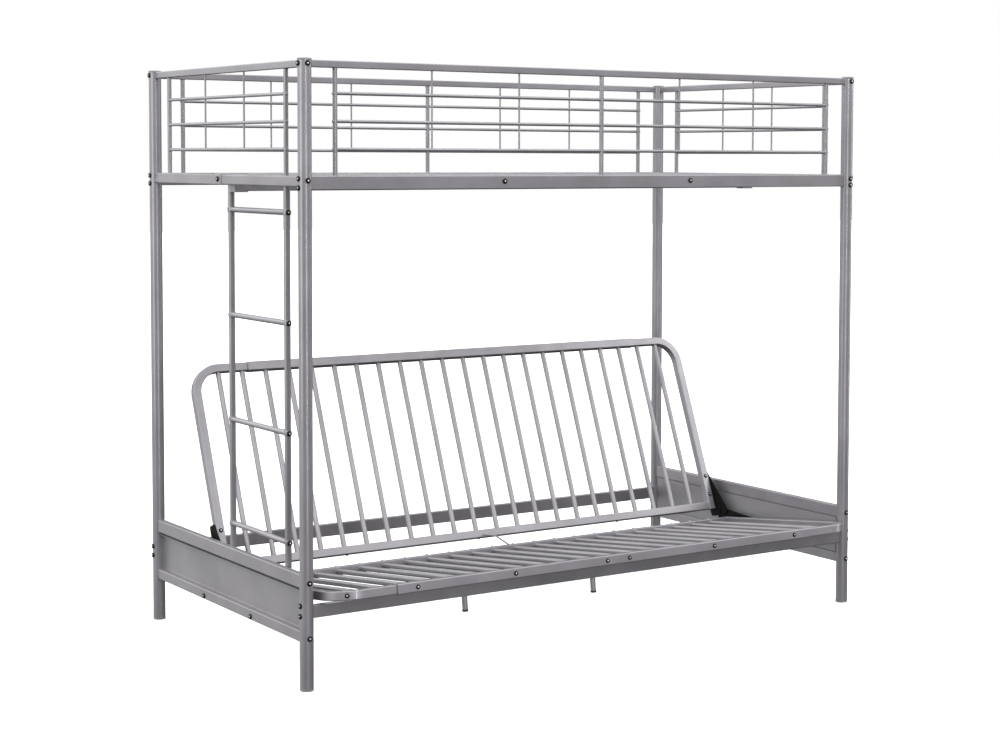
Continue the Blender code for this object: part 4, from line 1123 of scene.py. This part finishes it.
class LOFTBED_OT_bolts(bpy.types.Operator):
    """Bolt heads and slat studs"""

    bl_idname = "loftbed.bolts"
    bl_label = "Bolts"

    def execute(self, context):
        size = sizes()
        frame_bolts = self.post_bolts() + self.arm_bolts() + self.ladder_bolts() + self.rail_bolts()
        for body, sites, share in (("frame", frame_bolts, 1.0), ("seat", self.seat_bolts(), FUTON_BOLT_SHARE),
                                   ("back", self.back_bolts(), FUTON_BOLT_SHARE)):
            radius, rise = size.bolt_head * share, size.bolt_rise * share
            matrices = [facing(point, direction) for point, direction in sites]
            head = turned([(radius * 0.9, -BOLT_ROOT), *scaled(BOLT_HEAD, radius, rise)], 24)
            complete(placed(head, matrices), f"{body}_bolts", body, "bolt")
            # The sockets take a near-white finish: a painted highlight for the glint at the middle of each
            # bolt head
            socket = turned(scaled(BOLT_SOCKET, radius, rise), 6)
            complete(placed(socket, matrices), f"{body}_bolt_sockets", body, "socket")
        self.studs()
        return {"FINISHED"}

    def studs(self):
        """Small domed studs: over each slat on the seat's rear rail, and on the back's two rails."""
        size = sizes()
        dome = [(size.stud, -STUD_ROOT), *scaled(STUD, size.stud, size.stud)]
        rail_top = PIVOT_DROP + size.futon_tube / 2
        sites = [facing(Vector((x, SEAT_REAR_Y, rail_top)), Z_AXIS) for x in slat_places()]
        complete(placed(turned(dome, 16), sites), "seat_slat_studs", "seat", "coat", carry=laid("seat"))
        crown = Vector((0, BACK_TOP_Y + size.sleeve / 2, PIVOT_DROP))
        foot = Vector((0, BACK_LOW_Y - size.futon_tube / 2, PIVOT_DROP))
        sites = [facing(crown + X_AXIS * x, Y_AXIS) for x in BACK_TOP_STUDS]
        sites += [facing(foot + X_AXIS * x, -Y_AXIS) for x in BACK_LOW_STUDS]
        complete(placed(turned(dome, 16), sites), "back_rail_studs", "back", "bolt", carry=laid("back"))

    def post_bolts(self):
        """Heads on the outside of the posts, at the ends of every rail."""
        radius = post_radius()
        guard = top_of("guard_front") - GUARD_BOLT_DROP
        bunk = top_of("bunk_rail_front")
        arms = [centre("arm_rail_left").z, centre("arm_low_rail_left").z]
        sites = []
        for corner in CORNERS:
            depth, end = corner.split("_")
            low = top_of(f"lower_rail_{depth}") - (REAR_BOLT_DROP if depth == "rear" else 0)
            outward = X_AXIS * dict(ENDS)[end]
            forward = Y_AXIS * (-1 if depth == "front" else 1)
            side_heights = [guard, *(bunk - drop for drop in SIDE_BOLT_DROPS), low, low - LOW_BOLT_PITCH]
            end_heights = [guard, *(bunk - drop for drop in END_BOLT_DROPS[end]), *arms]
            for heights, direction in ((side_heights, outward), (end_heights, forward)):
                sites += [(post_axis(corner, height) + direction * radius, direction) for height in heights]
        return sites

    def arm_bolts(self):
        """Heads on the outer faces of the arms' lower rails, at the slide guides."""
        sites = []
        for label, sign in ENDS:
            low, high = span(f"arm_low_rail_{label}")
            face = high.x if sign > 0 else low.x
            sites += [(Vector((face, y + middle_y(), high.z - ARM_BOLT_DROP)), X_AXIS * sign)
                      for y in ARM_BOLTS]
        return sites

    def ladder_bolts(self):
        """Heads outside the stiles, at each rung."""
        sites = []
        for height in rung_heights():
            for label, direction in (("front", -Y_AXIS), ("rear", Y_AXIS)):
                low, high = span(f"ladder_stile_{label}")
                y = low.y if label == "front" else high.y
                sites.append((Vector(((low.x + high.x) / 2, y, height)), direction))
        return sites

    def rail_bolts(self):
        """Heads on the bunk rails: the splice, and the deck's bars."""
        size = sizes()
        low, high = span("bunk_end_rail_left_front")
        y = span("bunk_end_rail_left_rear")[0].y - size.splice_shift + size.splice_bolt
        sites = [(Vector((low.x, y, high.z - size.end_rail * SPLICE_BOLT_SHARE)), -X_AXIS)]
        for side, direction in (("front", -Y_AXIS), ("rear", Y_AXIS)):
            low, high = span(f"bunk_rail_{side}")
            y = low.y if side == "front" else high.y
            sites += [(Vector((x, y, high.z - RAIL_BOLT_DROP)), direction) for x in BUNK_RAIL_BOLTS]
        return sites

    def seat_bolts(self):
        """Heads in the front sleeve, and one on the left bent corner."""
        size = sizes()
        turn = laid("seat")
        front = SEAT_FRONT_Y - size.sleeve / 2 + BOLT_BITE
        sites = [(Vector((x, front, PIVOT_DROP)), -Y_AXIS) for x in SEAT_BOLTS]
        outward = Vector((-math.sin(CORNER_BOLT_TURN), -math.cos(CORNER_BOLT_TURN), 0))
        hub = Vector((size.futon_bend - futon_axis(), SEAT_FRONT_Y + size.futon_bend, PIVOT_DROP))
        sites.append((hub + outward * (size.futon_bend + size.futon_tube / 2 - BOLT_BITE), outward))
        return [(turn @ point, turn.to_3x3() @ direction) for point, direction in sites]

    def back_bolts(self):
        """Heads on the front of the back's side tubes at the hinges."""
        turn = laid("back")
        face = PIVOT_DROP + sizes().futon_tube / 2 - BOLT_BITE
        return [(turn @ Vector((sign * futon_axis(), y, face)), turn.to_3x3() @ Z_AXIS)
                for _, sign in ENDS for y in HINGE_BOLTS]


class LOFTBED_OT_welds(bpy.types.Operator):
    """Weld beads where the slats and the guards' uprights meet their rails"""

    bl_idname = "loftbed.welds"
    bl_label = "Welds"

    def execute(self, context):
        size = sizes()
        for body, rail_y, far_y in (("seat", SEAT_REAR_Y, SEAT_FRONT_Y), ("back", BACK_LOW_Y, BACK_TOP_Y)):
            ahead = Y_AXIS * math.copysign(1, far_y - rail_y)
            matrices = []
            for x in slat_places():
                width = size.sleeve if abs(x) < futon_axis() - SLEEVE_INSET else size.futon_tube
                near = Vector((x, rail_y, PIVOT_DROP)) + ahead * (size.futon_tube / 2 - WELD_BITE)
                far = Vector((x, far_y, PIVOT_DROP)) - ahead * (width / 2 - WELD_BITE)
                matrices += [facing(near, ahead), facing(far, -ahead)]
            complete(placed(self.bead(size.slat / 2), matrices), f"{body}_slat_welds", body, "weld",
                     carry=laid(body))
        base = top_of("bunk_rail_front")
        under = top_of("guard_front") - GUARD_RAIL_HEIGHT
        matrices = []
        for side in SIDES:
            for place in guard_places(side, "uprights"):
                matrices += [facing(on_side(side, place, base), Z_AXIS),
                             facing(on_side(side, place, under), -Z_AXIS)]
        complete(placed(self.bead(size.upright / 2), matrices), "guard_welds", "frame", "weld")
        return {"FINISHED"}

    def bead(self, radius):
        """A ring of weld round a bar that stands on the origin along Z."""
        thick = sizes().weld
        return turned([(radius * 0.8, -thick), (radius + thick * 0.95, -thick * 0.7),
                       (radius + thick * 0.8, thick * 0.2), (radius + thick * 0.3, thick * 0.8),
                       (radius * 0.9, thick)], 20)


class LOFTBED_OT_stage(bpy.types.Operator):
    """Pale floor, soft studio light and the camera"""

    bl_idname = "loftbed.stage"
    bl_label = "Stage"

    def execute(self, context):
        stage = context.scene.loft_bed_stage
        self.floor()
        self.lights(stage)
        self.surround(stage)
        self.camera(context, stage)
        return {"FINISHED"}

    def floor(self):
        """A wide plain floor."""
        deselect()
        bpy.ops.mesh.primitive_plane_add(size=FLOOR_SIZE, location=(0, 0, 0))
        floor = bpy.context.object
        floor.name = "studio_floor"
        finish = Finish("studio_floor")
        low, high = shades(colours().floor, 0.985, 1.0)
        tone = finish.ramp(finish.noise(0.7, 2), (0.4, low), (0.6, high))
        floor.data.materials.append(finish.surface(Base_Color=tone, Roughness=0.85))
        floor.visible_diffuse = False
        floor.visible_glossy = False
        floor.visible_shadow = False

    def lights(self, stage):
        """Soft boxes at the left and overhead, and tall strips in front and at the right."""
        boxes = (
            ("left_box", (-6.4, -0.4, 1.5), (-0.5, 0, 0.8), 2.6, 3.2, stage.key),
            ("top_box", (0.2, -1.6, 4.6), (0, 0, 0.6), 4.5, 2.5, stage.top),
            ("front_strip", (-1.2, -5.4, 1.2), (-0.2, 0, 0.8), 0.22, 3.4, stage.strip),
            ("right_strip", (2.4, -0.95, 1.2), (0.9, -0.45, 0.9), 0.15, 2.2, stage.rim),
        )
        for name, place, target, width, height, energy in boxes:
            light = bpy.data.lights.new(name, "AREA")
            light.shape = "RECTANGLE"
            light.size = width
            light.size_y = height
            light.energy = energy
            lamp = bpy.data.objects.new(name, light)
            bpy.context.scene.collection.objects.link(lamp)
            lamp.location = place
            lamp.rotation_euler = (Vector(target) - Vector(place)).to_track_quat("-Z", "Y").to_euler()

    def surround(self, stage):
        """A soft surround, bright overhead and dim underfoot, in front of a plain white backdrop."""
        bpy.context.scene.view_settings.view_transform = "Standard"
        world = bpy.data.worlds.new("studio_surround")
        finish = Finish("studio_surround", world)
        across, ahead = math.sin(CAMERA_YAW), math.cos(CAMERA_YAW)
        height = finish.node("ShaderNodeSeparateXYZ", {}, {"Vector": finish.place}, "Z") * 0.5 + 0.5
        rise = finish.ramp(height, (0.0, 0.04), (1.0, 1.0), (0.4, 0.06), (0.5, 0.23), (0.58, 0.54),
                           (0.72, 1.0))
        dim = finish.ramp(finish.towards((across, ahead, 0)) * 0.5 + 0.5, (0.74, 1.0), (1.0, 0.15))
        glow = finish.ramp(finish.towards((-across, ahead, 0.05)) * 0.5 + 0.5, (0.8, 0.0), (1.0, 1.0))
        strength = rise * dim * stage.sky + glow * stage.glow
        soft = finish.node("ShaderNodeBackground", {}, {"Strength": strength})
        backdrop = finish.node("ShaderNodeBackground", {}, {"Color": (1, 1, 1, 1), "Strength": 1.0})
        seen = finish.node("ShaderNodeLightPath", {}, {}, "Is Camera Ray")
        mixed = finish.node("ShaderNodeMixShader", {}, {0: seen, 1: soft, 2: backdrop})
        finish.show(mixed, "ShaderNodeOutputWorld")
        bpy.context.scene.world = world

    def camera(self, context, stage):
        """The camera at the photograph's viewing angle."""
        data = bpy.data.cameras.new("camera")
        data.sensor_width = CAMERA_SENSOR
        data.lens = stage.lens
        data.shift_x, data.shift_y = CAMERA_SHIFT
        data.clip_start, data.clip_end = CAMERA_CLIP
        camera = bpy.data.objects.new("camera", data)
        context.scene.collection.objects.link(camera)
        across, ahead = math.sin(CAMERA_YAW), math.cos(CAMERA_YAW)
        tilt = math.cos(CAMERA_PITCH)
        forward = Vector((across * tilt, ahead * tilt, math.sin(CAMERA_PITCH)))
        level = Vector((ahead, -across, 0))
        upright = level.cross(forward)
        right = level * math.cos(CAMERA_ROLL) + upright * math.sin(CAMERA_ROLL)
        up = upright * math.cos(CAMERA_ROLL) - level * math.sin(CAMERA_ROLL)
        matrix = Matrix((right, up, -forward)).transposed().to_4x4()
        matrix.translation = CAMERA_PLACE + Y_AXIS * middle_y()
        camera.matrix_world = matrix
        context.scene.camera = camera


BUILD_ORDER = (
    LOFTBED_OT_posts, LOFTBED_OT_bunk_rails, LOFTBED_OT_guards, LOFTBED_OT_deck, LOFTBED_OT_ladder,
    LOFTBED_OT_arms, LOFTBED_OT_slide, LOFTBED_OT_seat, LOFTBED_OT_back, LOFTBED_OT_hinges,
    LOFTBED_OT_leg, LOFTBED_OT_bolts, LOFTBED_OT_welds, LOFTBED_OT_stage,
)


class LOFTBED_PT_sidebar(bpy.types.Panel):
    """Sizes, colours and building steps of the loft bed"""

    bl_idname = "LOFTBED_PT_sidebar"
    bl_label = "Loft Bed"
    bl_space_type = "VIEW_3D"
    bl_region_type = "UI"
    bl_category = "Loft Bed"

    def draw(self, context):
        for name in GROUPS:
            group = getattr(context.scene, name)
            column = self.layout.column()
            for key in group.__annotations__:
                column.prop(group, key)
        column = self.layout.column()
        for operator in BUILD_ORDER:
            column.operator(operator.bl_idname)


GROUPS = {"loft_bed_sizes": LoftBedSizes, "loft_bed_colours": LoftBedColours, "loft_bed_stage": LoftBedStage}


def register():
    """Registers the groups, the operators and the panel."""
    for name, group in GROUPS.items():
        bpy.utils.register_class(group)
        setattr(bpy.types.Scene, name, PointerProperty(type=group))
    for member in (*BUILD_ORDER, LOFTBED_PT_sidebar):
        bpy.utils.register_class(member)


def unregister():
    """Takes back what register() added."""
    for member in reversed((*BUILD_ORDER, LOFTBED_PT_sidebar)):
        bpy.utils.unregister_class(member)
    for name, group in reversed(GROUPS.items()):
        delattr(bpy.types.Scene, name)
        bpy.utils.unregister_class(group)


def main():
    """Builds every piece in order."""
    register()
    for operator in BUILD_ORDER:
        group, name = operator.bl_idname.split(".")
        getattr(getattr(bpy.ops, group), name)()


if __name__ == "__main__":
    main()
